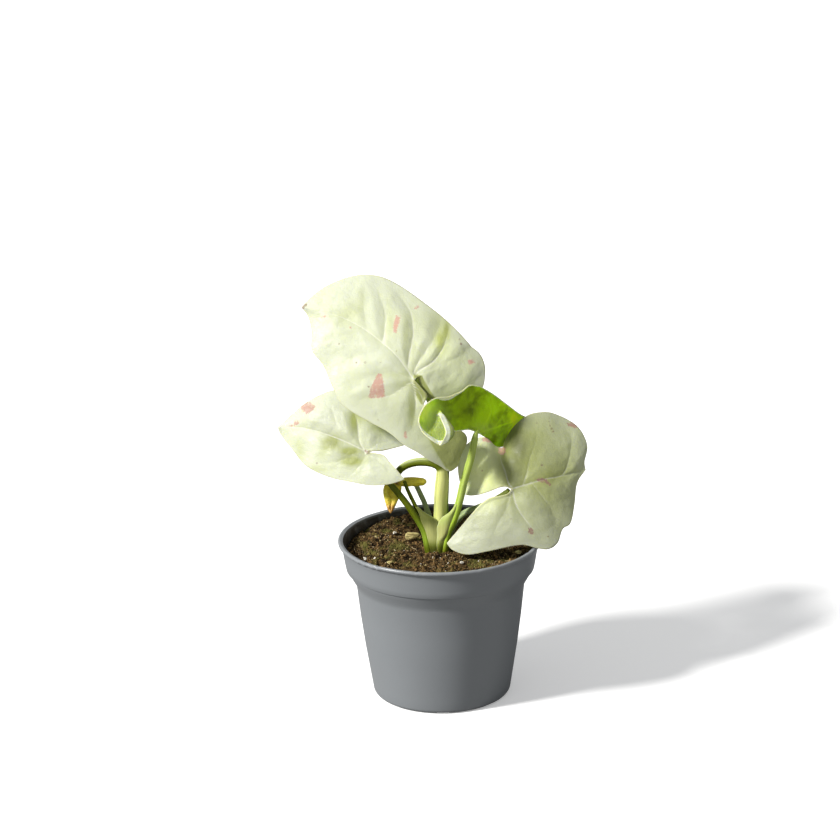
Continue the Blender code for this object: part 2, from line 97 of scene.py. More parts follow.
# How far the scattered shapes are roughened, in metres, and the small perlite crumbs: how many
# for each square metre, and their smallest and largest radius in millimetres
LUMP_ROUGHNESS = 0.0011
CRUMB_ROUGHNESS = 0.0006
PERLITE_DENSITY = 9000.0
PERLITE_RADII = (0.2, 0.5)

# Grids of the leaf surfaces
LOBE_ROWS = 64
BLADE_ROWS = 72
COLUMNS = 44
FOLD_COLUMNS = 6
CURVE_STEPS = 16
VEIN_STEPS = 18
RELAX_STEPS = 14

# Leaf surfaces, in millimetres: gap that is welded, edge that is dissolved, margin without vein
# relief, height of the broad waves, and the distance that stands for outside all spots; then the
# midrib's strength among the veins
WELD_GAP = 0.03
SHORTEST_EDGE = 0.01
FLAT_MARGIN = 1.2
WAVE_DEPTH = 0.35
OUTSIDE_SPOTS = -5.0
MIDRIB_STRENGTH = 0.9

# Width in millimetres of the young leaf's cream margin, and what its rolled lobe adds to it
CREAM_MARGIN = 0.35
CREAM_BOWL = 2.0

# Stage: direction of the key light, strength of the backdrop where it is seen, and the camera's
# focal length and picture width in pixels, sensor in millimetres, turn in radians, and target
KEY_DIRECTION = Vector((-0.72, -0.34, 0.61))
BACKDROP_STRENGTH = 1.04
FOCAL_PIXELS = 2757.0
PICTURE_PIXELS = 840.0
SENSOR_WIDTH = 36.0
CAMERA_ROLL = 0.0176
CAMERA_TARGET = Vector((-7.85, 0.0, 126.0))

# Leaf outlines. On each half, the margin runs from the tip to the shoulder, the lobe from the
# shoulder to the basal lobe's end, and the sinus from the joint to that same end. A rolled lobe
# is a net instead: ribs of four points from its inner edge to its margin, which end in one point.
# The bulge is how far a half swells between its midrib and its margin, and a fold is how far a
# narrow band at the first half's sinus turns back. Veins are (strength, (right, up) points),
# spots are outlines of pink, and flecks are (right, up, radius) of brown dots. Tints are
# (right, up, radius across, radius up, strength) of green: partly the blade's own green and partly
# painted green shade, where a part lies in shadow. The tone is the face's brightness, painted light
# and shade, lights are (right, up, radius across, radius up, gain) added to it, painted light where
# the gain is above 0 and painted shade below it, and patches are (outline, softness, tint, gain) of
# a whole area, which paint the olive green of shade.
LEAVES = {
    "top": {
        "midrib": [(-9, 74.5, 22), (-17, 86, 21.5), (-30, 97, 17.5), (-41, 103, 14), (-50, 105.5, 11),
                   (-58, 107.5, 8)],
        "halves": [
            {
                "margin": [(-54.2, 111.5, 7), (-46, 117.2, 6), (-35, 121, 5), (-25, 121, 5), (-16, 117.2, 6),
                           (-5, 109.2, 9), (5.5, 100.5, 12)],
                "lobe": [(14, 91.5, 13), (16, 89, 12.5), (19.5, 86, 12), (21.5, 82, 12), (22, 77.5, 12),
                         (20.5, 70.5, 12.5), (14.5, 66.5, 14)],
                "sinus": [(-5.4, 76, 21.8), (-3.7, 72, 21), (-0.7, 67.5, 20), (7, 65, 17)],
                "bulge": 2.5,
            },
            {
                "margin": [(-55, 103.5, 8), (-53.5, 96, 10), (-53.5, 88.5, 13), (-48.5, 81.5, 15),
                           (-44.5, 72, 18), (-40, 64, 20)],
                "lobe": [(-30, 57.5, 22), (-20.5, 52, 23), (-14, 46.5, 23), (-8, 43, 22), (-3, 39.5, 20.5),
                         (1.5, 37, 18.5), (5.5, 34.5, 17), (9, 36.5, 16)],
                "sinus": [(-5.5, 70.5, 22), (-3.5, 67.5, 22), (-5, 63.5, 22), (-1, 58, 21), (5.5, 54.5, 19),
                          (12, 51.5, 17), (13.5, 47.5, 16.5), (10.5, 41, 16)],
                "bulge": 1.5,
            },
        ],
        "veins": [
            (1.0, [(-11.5, 80.5), (-10.5, 87.5), (-9, 93.5), (-9, 99), (-10, 104.5), (-13, 109.5),
                   (-16.5, 113.5)]),
            (0.9, [(-22.5, 91), (-21.5, 96.5), (-21, 102.5), (-22, 108), (-23.5, 112), (-24.5, 116)]),
            (0.45, [(-28.5, 95.5), (-30, 101.5), (-30.5, 107.5), (-30, 114)]),
            (0.9, [(-9, 78), (-8, 80.5), (-4.5, 86), (-1, 91), (1.5, 96), (3, 101)]),
            (1.0, [(-8.5, 77), (-6.5, 79), (-0.5, 82.5), (4, 88.5), (6, 94.5), (7, 99)]),
            (0.4, [(-8.5, 76.5), (-2, 79), (6.5, 83), (15.5, 86)]),
            (0.5, [(-10, 75), (-18, 78), (-22, 77.5), (-29, 76.5), (-36, 73)]),
            (0.8, [(-10, 74), (-14.5, 71), (-18.5, 68.5), (-22, 67.5), (-27.5, 67), (-33, 66.5)]),
            (1.0, [(-9.5, 73.5), (-8.5, 67.5), (-8.5, 61.5), (-9.5, 56.5), (-11, 52)]),
            (0.7, [(-8.5, 72.5), (-6, 67.5), (-5, 64), (-5, 57), (-3.5, 50), (0.5, 44)]),
            (0.3, [(-17, 86.5), (-27, 87), (-38, 84), (-46, 79)]),
            (0.3, [(-27.5, 95), (-36, 95.5), (-45, 93), (-51, 89)]),
        ],
        "spots": [
            [(-24.8, 77.8), (-23, 77.4), (-22.3, 72), (-22, 67.4), (-25.5, 67), (-29, 67.2), (-27.8, 72)],
            [(-16.4, 102.8), (-14.6, 102.6), (-15.3, 99), (-16.6, 95.2), (-17.8, 95.6), (-17.6, 99.5)],
            [(-9, 106), (-7.2, 107.6), (-5.8, 106.8), (-7.4, 105.8)],
            [(-49.6, 103), (-47.2, 103.7), (-46.6, 103), (-48.5, 102.5)],
            [(14.3, 82.6), (16, 83.1), (17.8, 82), (16, 81.3), (14.8, 81.4)],
            [(-13.8, 52.6), (-13, 52.4), (-12.6, 49.6), (-13.4, 49), (-14, 50.6)],
            [(-37, 98.3), (-36, 98.4), (-36.2, 97.7), (-37, 97.7)],
        ],
        "flecks": [(-41.5, 91, 0.45), (-34, 82.5, 0.5), (-30.2, 82.5, 0.5), (-23.5, 82.6, 0.35),
                   (-16.5, 87.5, 0.35), (-25, 57.5, 0.4), (-28.8, 72, 0.5), (11.5, 90, 0.55), (11, 92, 0.4),
                   (-57.6, 107.6, 1.0), (-56, 108.6, 0.6)],
        # The strong green at the lower lobe's end is painted green shade.
        "tints_and_painted_shade": [(2.5, 92, 2.2, 5, 1.2), (5.5, 96, 1.5, 4, 1.2), (-35.5, 105.5, 5, 4, 0.45),
                  (-31.5, 111, 2, 6, 0.4), (-18.8, 102, 1.8, 7, 0.5), (-12.5, 95, 1.5, 9, 0.5),
                  (-17.5, 77, 7, 1.6, 0.4), (-14.5, 73, 6, 1.8, 0.45), (-10.5, 62, 1.6, 9, 0.7),
                  (2, 103, 9, 6, 0.45), (12, 78, 9, 14, 0.4), (7, 46, 6, 8, 2.2), (-3, 60, 1.5, 8, 0.4),
                  (-1, 48, 6, 7, 0.35), (5, 85, 14, 14, 0.2), (-15, 60, 12, 10, 0.25), (3, 70, 7, 6, 0.35)],
        # Tone and lights paint light and shade over this blade.
        "tone": 0.98,
        "lights": [(-46, 92, 14, 24, -0.06), (2, 103, 9, 6, -0.1), (6, 84, 6, 8, 0.42), (16, 68, 6, 5, -0.08),
                   (9, 73, 7, 5, 0.12), (-4, 50, 5, 8, 0.15), (-22, 62, 16, 8, -0.09)],
        # Both patches paint the olive green of shade: at the lower lobe's end and by the joint.
        "patches": [([(-3, 49), (0.5, 42.5), (4, 36), (9, 33), (15, 46), (14, 58), (6, 56), (0, 54)],
                     1.2, 1.4, -0.22),
                    ([(-9, 77.5), (-5.6, 76), (-4, 72.6), (-1.4, 68.4), (1, 65), (-6, 64), (-9, 70)],
                     0.5, 2.4, -0.3)],
        "fold": (-2.4, -0.9, -1.6),
    },
    "left": {
        "midrib": [(-30, 43.5, 12), (-40, 48.5, 10), (-52, 53, 5), (-61, 55, 0), (-70, 55, -5)],
        "halves": [
            {
                "margin": [(-63.5, 60.5, -4), (-56.5, 66, -2), (-46.5, 70.5, 0), (-36.5, 71, 1)],
                "lobe": [(-28, 66.5, 2), (-19.5, 58.5, 4), (-14.5, 51, 6), (-13, 46.5, 8)],
                "sinus": [(-27.5, 44, 12), (-24, 44, 11.5), (-19, 45, 10)],
                "bulge": 2.0,
            },
            {
                "margin": [(-68, 51, -5), (-64, 46, -2), (-57.5, 38, 3), (-47.5, 33, 8)],
                "lobe": [(-37, 30.5, 12), (-28.5, 29, 14), (-20.5, 29.5, 15), (-14, 31.4, 15)],
                "sinus": [(-26.5, 43, 12.5), (-22.8, 42, 13), (-20.3, 38.9, 14), (-17, 35.2, 15)],
                "bulge": 1.5,
            },
        ],
        "veins": [
            (0.9, [(-31, 43.5), (-31.5, 44.5), (-33.5, 48), (-34, 52), (-34.5, 57.5), (-35.5, 61),
                   (-36.5, 66)]),
            (0.3, [(-37.5, 47.5), (-42, 53.5), (-45, 60), (-46.5, 66)]),
            (0.35, [(-34.5, 44), (-40, 41), (-46.5, 39), (-53, 39)]),
            (0.4, [(-30.5, 42.5), (-33.5, 38), (-37, 34), (-40, 32)]),
            (0.5, [(-30, 43), (-24.5, 39), (-20.5, 35.5), (-17, 33.5)]),
            (0.5, [(-30.5, 44), (-25.5, 47), (-20, 48), (-16, 48)]),
        ],
        "spots": [
            [(-56.6, 66.2), (-54.6, 65.4), (-52.6, 63.8), (-54.4, 61.6), (-56.8, 60.6), (-59, 62.6),
             (-59.8, 64.4), (-58.2, 65)],
            [(-62.6, 57.4), (-61, 58), (-60.4, 56.8), (-61.6, 56), (-63, 55.9)],
            [(-67, 55.9), (-64, 55.9), (-62.2, 56.1), (-62.4, 55.6), (-65, 55.5)],
        ],
        "flecks": [(-52.5, 39, 0.45), (-42.5, 33, 0.3), (-31, 44.2, 0.6), (-30, 43.6, 0.7), (-29, 43.8, 0.5)],
        "tints_and_painted_shade": [(-46.5, 47.8, 3.8, 3, 2.2), (-50, 43.5, 3.2, 3, 0.5), (-38, 44.2, 4.4, 1.7, 2.0),
                  (-37, 39.8, 5.2, 2.2, 2.0), (-36, 57, 1.8, 5, 1.2), (-26, 54.5, 3, 2, 0.9),
                  (-22, 52.5, 4, 2.2, 0.8), (-31, 62, 5, 4, 0.6), (-28, 59, 8, 2.5, 0.6),
                  (-60, 44, 2.5, 5, 0.7), (-53, 36.5, 5, 1.5, 0.5)],
        # Tone and lights paint shade over this blade.
        "tone": 0.95,
        "lights": [(-45, 57, 15, 12, -0.2), (-46.5, 47.8, 3.8, 3, -0.26), (-37.5, 42, 5.5, 4, -0.2)],
        "patches": [],
    },
    "right": {
        "midrib": [(32.5, 26.5, 15), (39.5, 28.5, 16.5), (47.5, 30.5, 16), (56.5, 32, 12), (65.5, 34, 6)],
        "halves": [
            {
                "margin": [(65, 37.5, 5), (66.5, 45, 3), (62, 53.5, 2), (52, 59, 2), (45, 59.5, 2.5),
                           (40, 58, 3)],
                "lobe": [(34.5, 53.5, 3), (30.5, 47.5, 4), (29.5, 44.5, 6), (26, 45, 8), (22, 49, 9),
                         (16, 48, 8), (10.5, 42.5, 7), (9.5, 36, 6.5), (10.4, 29, 6.5), (12.6, 24, 6.8)],
                "sinus": [(30, 27.5, 14.5), (27, 27, 13), (23.5, 25.5, 11), (19, 24.1, 9), (15, 23.6, 7.6)],
                "bulge": 3.0,
            },
            {
                "margin": [(61.5, 28.5, 9), (60, 19, 11.5), (58, 11, 14), (54.5, 8.5, 15.5), (52, 2.5, 17.5)],
                "lobe": [(48, 0, 18.5), (43, 0.5, 18.5), (36, 2, 18), (22.5, -0.5, 15.5), (13, -2, 13),
                         (6.5, 0, 11), (4, 3, 9.5)],
                "sinus": [(31, 24.5, 15), (27.5, 23.5, 14.5), (22.5, 22.5, 14), (18, 19, 13), (11, 11, 11)],
                "bulge": 2.0,
            },
        ],
        "veins": [
            (1.0, [(32.5, 26), (33, 25), (34, 20.5), (36.5, 15.5), (40.5, 10), (42.5, 8), (45, 4)]),
            (0.7, [(32, 26), (31.5, 22.5), (29.5, 16.5), (26.5, 12), (24.5, 7.5), (24.5, 3.5)]),
            (0.5, [(32, 25.5), (31.5, 23.5), (25.5, 21.5), (21, 20), (16, 15)]),
            (0.6, [(41, 29.5), (43, 27), (45.5, 23.5), (48.5, 19.5), (51, 14.5), (52.5, 10)]),
            (0.6, [(37.5, 28.5), (39.5, 34), (41, 40), (43, 45), (44, 49.5), (44, 54)]),
            (0.6, [(55, 32), (57, 35), (59, 42), (59.5, 49), (58.5, 52.5)]),
            (0.9, [(32.5, 27), (31, 29.5), (29.5, 35), (28, 40.5), (28, 44)]),
            (0.3, [(32, 27), (27.5, 30), (23.5, 34), (19, 38.5)]),
        ],
        "spots": [
            [(42.6, 30.6), (45.5, 31.2), (48, 30.4), (49.8, 28), (49.4, 27.2), (47.6, 28.8), (45.4, 29.4)],
            [(39.4, 9.2), (41.4, 9.4), (41.8, 7.4), (41, 6.6), (39.6, 6.8)],
            [(27.4, 44.6), (29, 45.2), (30.6, 44), (30.2, 41.6), (28.6, 41), (27.2, 42.4)],
            [(57.6, 54.6), (60, 55), (62.6, 53), (61.4, 52.2), (58.6, 53.4)],
            [(20, 48.6), (22, 49.4), (23.4, 48.4), (24.6, 46.6), (23, 47), (20.6, 47.4)],
        ],
        "flecks": [(46, 36.5, 0.55), (44.5, 55, 0.4), (20, 34.5, 0.4), (32, 13.5, 0.35), (48, 5.5, 0.4),
                   (50, 57, 0.35), (50, 55.3, 0.35), (50.2, 53.6, 0.4), (50.9, 52.2, 0.5), (51.5, 51, 0.5)],
        # The broad green over this leaf is partly painted shade.
        "tints_and_painted_shade": [(42, 36, 28, 26, 1.15), (33, 46, 5, 8, 0.9), (55, 20, 9, 14, 0.3), (20, 32, 9, 12, 0.5),
                  (44, 50, 12, 8, 0.3)],
        # Tone and lights paint this whole leaf in shade, with painted light on its lit parts and painted
        # shade in a band beside its dome's margin.
        "tone": 0.62,
        "lights": [(62, 42, 7, 16, 0.35), (12, 4, 9, 8, 0.2), (18, 34, 8, 13, 1.25), (28.5, 45, 2.6, 4, 0.85),
                   (11, 36, 3, 9, 0.5), (36, 46, 4, 8, -0.36), (22, 20, 8, 8, 0.08), (58, 16, 5, 14, 0.2)],
        "patches": [],
    },
    "young": {
        "midrib": [(17.5, 51.5, 16), (24, 53, 10), (30.5, 55, 3), (36.5, 56.5, -3), (41.5, 57, -7)],
        "halves": [
            {
                "margin": [(37, 59.5, -2), (31.5, 63.5, 6), (25.5, 68, 13), (19.5, 71.5, 19.5)],
                "rolled": [
                    [(14, 52.5, 19), (14, 59, 19.5), (14.5, 66, 21), (15, 72, 22.5)],
                    [(9.5, 52, 21.5), (10.5, 58, 22), (11, 64, 23.5), (11.5, 69.5, 25.5)],
                    [(5.5, 52.5, 22.5), (6.5, 58.5, 23.5), (8, 63, 24.5), (8, 68, 27.5)],
                    [(2.5, 55.5, 24), (4, 60.5, 25), (5.5, 64, 26), (5.5, 67, 29)],
                    [(0.5, 59, 27), (1.5, 61.5, 27), (0.5, 64, 28), (0, 66.5, 31)],
                    [(1.5, 59, 32.5), (3.5, 59.5, 30.5), (-1.5, 61, 28), (-5, 63, 33)],
                    [(2.5, 56.5, 34), (6, 56, 31.5), (-2.5, 56.5, 28.5), (-7.5, 57.5, 34)],
                    [(4, 52.5, 36), (8, 52, 33), (-2, 53, 30), (-6.5, 53, 35)],
                    [(3.5, 49.5, 37), (6.5, 48.5, 35), (0.5, 49.5, 33), (-3.5, 49.5, 36)],
                    [(1.5, 46, 36)],
                ],
                "bulge": -2.0,
            },
            {
                "margin": [(38.5, 52, -8), (33, 46.5, -5)],
                "lobe": [(28, 44.5, -1), (24, 46, 3)],
                "sinus": [(19.5, 50.8, 12.5), (21, 50.2, 9)],
                "bulge": 0.0,
            },
        ],
        "veins": [
            (0.8, [(18.5, 52), (21.5, 56), (23.5, 61), (22, 66), (20, 70)]),
            (0.6, [(18, 52.5), (15.5, 57), (13.5, 61), (12.5, 66)]),
            (0.7, [(25, 53.5), (28.5, 58), (29.5, 62)]),
            (0.4, [(31, 55.5), (34.5, 58), (36, 59.5)]),
        ],
        "spots": [],
        "flecks": [],
        "tints_and_painted_shade": [(1.5, 55, 4, 7, 0.9), (-4, 59, 5, 8, 0.75), (-2, 50, 6, 4, 0.8), (20, 53, 5, 2.5, 0.35)],
        # Tone and lights paint light into the rolled lobe and onto the tip, and shade over the middle.
        "tone": 1.0,
        "lights": [(-5, 60, 5, 8, 0.9), (1.5, 53, 3, 4.5, -0.4), (33, 58, 6, 7, 0.6),
                   (12, 63, 5, 7, -0.4), (16, 69, 5, 3, -0.1)],
        "patches": [],
    },
}

# Withered blade: its midrib from the joint to the tip, its two side edges, its rolled lobe with
# radii at the start, middle and end, and the place of its brown joint
WITHERED_BLADE = {
    "midrib": [(-18.5, 30.5, 3.5), (-19.5, 26.5, 4.5), (-20, 22, 5.5), (-20.5, 16.5, 6)],
    "sides": [
        [(-22, 30.5, 4.5), (-23.5, 27, 5), (-23, 22.5, 5.5), (-22, 19, 6)],
        [(-15.5, 28, 3), (-16, 25, 4), (-17.5, 21.5, 5), (-19, 18.5, 5.5)],
    ],
    "rolled_lobe": [(-18, 30.5, 3), (-14.5, 30, 2.5), (-9.5, 30, 2), (-4.5, 30, 1.2)],
    "rolled_radii": (1.4, 2.1, 1.5),
    "brown_joint": (-17.0, 30.0, 3.2),
}

# Stalks. The path is the centre line from the base to the free end. Radii and colours are those
# at the base, the middle and the end, and the fades are the stretches, as shares of the length,
# over which one colour turns into the next. The olive colour is partly painted shade, where a stalk
# lies in a leaf's shadow. The channel is the angle of the groove round the stalk in degrees, and the
# groove is painted darker, as painted shade. A flat stalk is that many times wider than thick, from
# the crest on its upper edge is painted pale, as painted light on its top, and from the taper on it
# narrows.
STALKS = {
    "petiole_top": {
        "slot": "stem_pale",
        "path": [(1.2, 1.8, -3.9), (3, 12, -2), (3.5, 21.5, 0), (4, 30.5, 3), (4, 38.5, 6.5),
                 (3.5, 48, 10.5), (1, 58, 14), (-2.2, 64.5, 15.8), (-4, 68.5, 16.6), (-5.6, 71.5, 17.4),
                 (-7.5, 74.1, 18.6), (-8.5, 74.8, 20)],
        "radii": (1.8, 1.6, 1.2),
        "colours": ("green", "olive_and_painted_shade", "lime"),
        "fades": ((0.3, 0.42), (0.6, 0.9)),
    },
    "petiole_withered": {
        "slot": "stem_pale",
        "path": [(0, 3.4, 1), (1.2, 15, 3), (1.7, 24, 6.5), (2.4, 31.5, 9.5), (1.8, 36, 11), (-1.5, 38.2, 11),
                 (-7, 38.8, 9.5), (-11.8, 38, 8), (-15.5, 36, 6.5), (-17.6, 33.2, 4.9), (-18.1, 31, 3.9)],
        # This stalk's groove, on its left side, is painted dark as painted shade
        "channel": 155,
        "flat": 1.26,
        "radii": (2.2, 2.5, 1.5),
        # The arch ends olive, as painted shade under the leaves
        "colours": ("pale", "pale", "olive_and_painted_shade"),
        "fades": ((0.1, 0.2), (0.57, 0.6)),
        # From here on the stalk's upper side is painted pale, as painted light on its top
        "crest": 0.58,
    },
    "petiole_left": {
        "slot": "stem_green",
        "path": [(-4.4, 0.6, 1.6), (-5.8, 8, 3), (-10, 15.5, 5.5), (-14.5, 22, 7), (-20, 29, 9),
                 (-25.5, 37, 10), (-29, 42.1, 10.4)],
        "radii": (1.7, 1.5, 1.3),
        # The upper part is olive, as painted shade under the left leaf
        "colours": ("green", "olive_and_painted_shade", "olive_and_painted_shade"),
        "fades": ((0.16, 0.42), (0.6, 0.9)),
    },
    "petiole_young": {
        "slot": "stem_green",
        "path": [(2.9, 0, 3.4), (4.5, 7.5, 5), (7.5, 14, 7), (10, 22, 9.5), (12, 30.5, 12.5), (15, 40, 15.8),
                 (16.8, 48.5, 18), (17.5, 51, 17.2), (18.7, 52.1, 15.4), (20.8, 52.7, 12.7)],
        "radii": (1.8, 1.8, 1.5),
        "colours": ("fresh", "lime", "fresh"),
        "fades": ((0.25, 0.5), (0.9, 0.97)),
        "taper": 0.86,
    },
    "petiole_right": {
        "slot": "stem_green",
        "path": [(4.2, 1.7, -1.2), (6.5, 9, -1), (11, 15, 1.5), (17, 17.8, 5), (22.5, 20.1, 8.5),
                 (27.5, 22.9, 11.5), (31.6, 25.6, 13.3)],
        "radii": (1.6, 1.5, 1.4),
        "colours": ("grey", "grey", "olive_and_painted_shade"),
        "fades": ((0.1, 0.3), (0.6, 0.8)),
    },
    "petiole_stub_left": {
        "slot": "stem_olive",
        "path": [(-9, 18.3, 4.6), (-11, 22.5, 5.8), (-13, 27, 6.8), (-14.2, 30.5, 7)],
        "radii": (0.9, 0.9, 0.8),
        "colours": ("olive_and_painted_shade", "olive_and_painted_shade", "olive_and_painted_shade"),
        "fades": ((0.1, 0.3), (0.6, 0.9)),
    },
    "petiole_stub_back": {
        "slot": "stem_olive",
        "path": [(-3, 1.6, -2.4), (-3.2, 8, -2.8), (-4, 15.5, -3), (-5.5, 20.5, -2.5), (-7, 24, -2),
                 (-9.2, 28.8, -1.4)],
        "flat": 1.5,
        "channel": 20,
        "radii": (1.1, 1.2, 1.2),
        "colours": ("olive_and_painted_shade", "grey", "grey"),
        "fades": ((0.2, 0.5), (0.6, 0.9)),
    },
}

# Sheaths at the stalks' feet: rows from the top down, each from the stalk to the free margin
SHEATHS = {
    "petiole_young": [
        [(9, 20.5, 9.8), (8.5, 20, 10), (8, 19.5, 9.6)],
        [(8.5, 17.5, 8.9), (7, 17, 9.5), (5.5, 16.5, 8.5)],
        [(7.5, 14, 8), (4.5, 13.5, 8.5), (2, 14, 7)],
        [(6, 10.5, 7), (3.5, 10, 7.6), (0, 10.5, 6.2)],
        [(4.5, 7, 6.3), (2.5, 6.5, 6.8), (0, 7, 5.6)],
        [(3.2, 3.5, 5.2), (1, 3.5, 5.8), (-0.3, 3, 4.8)],
        [(2.4, -0.5, 4.4), (1, -0.5, 4.8), (0, -0.5, 4.4)],
        [(2.2, -4, 4.2), (1.1, -4, 4.4), (0.3, -4, 4.2)],
    ],
    "petiole_left": [
        [(-9.5, 19, 7), (-9, 19, 7), (-8.5, 19, 6.8)],
        [(-8, 16, 6.6), (-6.5, 16.5, 6.6), (-5, 16, 5.6)],
        [(-7, 12.5, 5.8), (-4, 13.5, 6.4), (-0.5, 13, 5)],
        [(-5.5, 9, 4.8), (-3, 9.5, 5.6), (0, 9, 4.8)],
        [(-4.5, 5.5, 4), (-2, 5.5, 4.8), (0, 5, 4.6)],
        [(-3.8, 2.5, 3.4), (-1.8, 2.5, 4.2), (-0.3, 2, 4.2)],
        [(-3.2, -0.5, 3), (-1.6, -0.5, 3.8), (-0.4, -0.5, 3.8)],
        [(-3, -4, 3), (-1.6, -4, 3.5), (-0.6, -4, 3.5)],
    ],
}

# Colours of the sheaths' feet and upper parts, and where one colour turns into the next; the left
# sheath's dark top is painted shade on the inside of its open sheath
SHEATH_FOOT = (0.17, 0.22, 0.02)
SHEATH_TOPS = {"petiole_young": (0.36, 0.42, 0.12), "petiole_left": (0.16, 0.175, 0.045)}
SHEATH_FADES = ((0.0, 0.3), (0.4, 0.7))

# Streaks on a sheath, for each metre across and up
SHEATH_STREAKS = (90, 60)

# The stalks' usual channel angle in degrees, and half the width of the groove in radians
CHANNEL_ANGLE = 140
GROOVE_WIDTH = 0.42

# How deep the stalks reach into the soil, where along its length a flattened stalk is round
# again, where the pale crest, painted light on the stalk's top, starts on the section, as a share
# of the radius, and over how much the flattening and the crest fade
STALK_FOOT = 3.0
FLAT_END = 0.62
CREST_START = 0.42
SECTION_FADE = 0.15

# Length of the streaks on the stalks, and the heights in metres between which their dark feet fade
STREAK_STEP = 0.04
FOOT_DARKENING = (0.0665, 0.0715)

BARK_CHIPS = ("bark_chip_left", "bark_chip_right", "bark_chip_front")
PERLITE_GRAINS = ("perlite_grain_back", "perlite_grain_left", "perlite_grain_middle",
                  "perlite_grain_front", "perlite_grain_right")


class LeafSettings(bpy.types.PropertyGroup):
    """Sizes and colours of the leaf blades"""
    thickness: bpy.props.FloatProperty(
        name="Blade thickness", description="Thickness of a leaf blade in millimetres",
        default=0.45, min=0.1)
    vein_depth: bpy.props.FloatProperty(
        name="Vein depth", description="How deep the veins are pressed in, in millimetres",
        default=0.22, min=0.0)
    pillow_depth: bpy.props.FloatProperty(
        name="Pillow depth", description="How far the blade swells between its veins, in millimetres",
        default=0.95, min=0.0)
    cream: bpy.props.FloatVectorProperty(
        name="Cream", description="Colour of the pale upper face",
        subtype="COLOR", size=3, default=(0.60, 0.63, 0.49))
    green: bpy.props.FloatVectorProperty(
        name="Green", description="Colour of the green tint in the pale face",
        subtype="COLOR", size=3, default=(0.40, 0.44, 0.15))
    vein: bpy.props.FloatVectorProperty(
        name="Vein", description="Colour of the veins", subtype="COLOR", size=3, default=(0.72, 0.73, 0.60))
    pink: bpy.props.FloatVectorProperty(
        name="Pink", description="Colour of the flecks",
        subtype="COLOR", size=3, default=(0.56, 0.33, 0.26))
    back: bpy.props.FloatVectorProperty(
        name="Back", description="Colour of the underside",
        subtype="COLOR", size=3, default=(0.46, 0.54, 0.30))
    young: bpy.props.FloatVectorProperty(
        name="Young green", description="Colour of the young leaf's underside",
        subtype="COLOR", size=3, default=(0.37, 0.55, 0.004))
    withered: bpy.props.FloatVectorProperty(
        name="Withered", description="Colour of the withered leaf",
        subtype="COLOR", size=3, default=(0.85, 0.74, 0.06))


class StalkSettings(bpy.types.PropertyGroup):
    """Shape and colours of the stalks"""
    groove: bpy.props.FloatProperty(
        name="Groove", description="Depth of the channel, as a share of the radius",
        default=0.22, min=0.0, max=0.8)
    sheath_thickness: bpy.props.FloatProperty(
        name="Sheath thickness", description="Thickness of the sheaths in millimetres",
        default=0.5, min=0.1)
    pale: bpy.props.FloatVectorProperty(
        name="Pale", description="Colour of the palest stalks",
        subtype="COLOR", size=3, default=(0.68, 0.70, 0.26))
    green: bpy.props.FloatVectorProperty(
        name="Green", description="Colour of the green stalks",
        subtype="COLOR", size=3, default=(0.25, 0.36, 0.03))
    lime: bpy.props.FloatVectorProperty(
        name="Lime", description="Colour of the fresh stalk ends",
        subtype="COLOR", size=3, default=(0.44, 0.55, 0.12))
    # Partly the dark stalks' own colour, partly painted shade where a stalk lies in a leaf's shadow
    olive_and_painted_shade: bpy.props.FloatVectorProperty(
        name="Olive", description="Colour of the dark stalks",
        subtype="COLOR", size=3, default=(0.12, 0.15, 0.004))
    fresh: bpy.props.FloatVectorProperty(
        name="Fresh green", description="Colour of a stalk that runs into a green midrib",
        subtype="COLOR", size=3, default=(0.38, 0.54, 0.05))
    grey: bpy.props.FloatVectorProperty(
        name="Grey green", description="Colour of the dull, pale stalks",
        subtype="COLOR", size=3, default=(0.33, 0.40, 0.20))


class PotSettings(bpy.types.PropertyGroup):
    """Finish of the nursery pot"""
    colour: bpy.props.FloatVectorProperty(
        name="Plastic", description="Colour of the plastic",
        subtype="COLOR", size=3, default=(0.19, 0.203, 0.214))
    lip_ripple: bpy.props.FloatProperty(
        name="Lip ripple", description="Height of the lip's slight waves, in millimetres",
        default=0.3, min=0.0)
    nick_depth: bpy.props.FloatProperty(
        name="Nick depth", description="Depth of the nicks in the lip, in millimetres",
        default=0.4, min=0.0)
    crease_depth: bpy.props.FloatProperty(
        name="Crease depth", description="How far the collar overhangs the body, in millimetres",
        default=0.55, min=0.0)


class SoilSettings(bpy.types.PropertyGroup):
    """Grain and colour of the potting soil"""
    lump_density: bpy.props.FloatProperty(
        name="Lump density", description="Large crumbs for each square metre", default=95000.0, min=0.0)
    lump_size: bpy.props.FloatProperty(
        name="Lump size", description="Largest radius of a large crumb",
        default=0.00105, min=0.0001, subtype="DISTANCE")
    crumb_density: bpy.props.FloatProperty(
        name="Crumb density", description="Small crumbs for each square metre", default=1500000.0, min=0.0)
    crumb_size: bpy.props.FloatProperty(
        name="Crumb size", description="Largest radius of a small crumb",
        default=0.0005, min=0.0001, subtype="DISTANCE")
    fibre_density: bpy.props.FloatProperty(
        name="Fibre density", description="Fibres for each square metre", default=90000.0, min=0.0)
    fibre_length: bpy.props.FloatProperty(
        name="Fibre length", description="Length of a fibre",
        default=0.0032, min=0.0005, subtype="DISTANCE")
    dark: bpy.props.FloatVectorProperty(
        name="Dark peat", description="Colour of the dark peat",
        subtype="COLOR", size=3, default=(0.012, 0.007, 0.003))
    light: bpy.props.FloatVectorProperty(
        name="Light fibre", description="Colour of the light fibre",
        subtype="COLOR", size=3, default=(0.13, 0.08, 0.03))
    seed: bpy.props.IntProperty(
        name="Seed", description="Seed of the scatter", default=7, min=0)


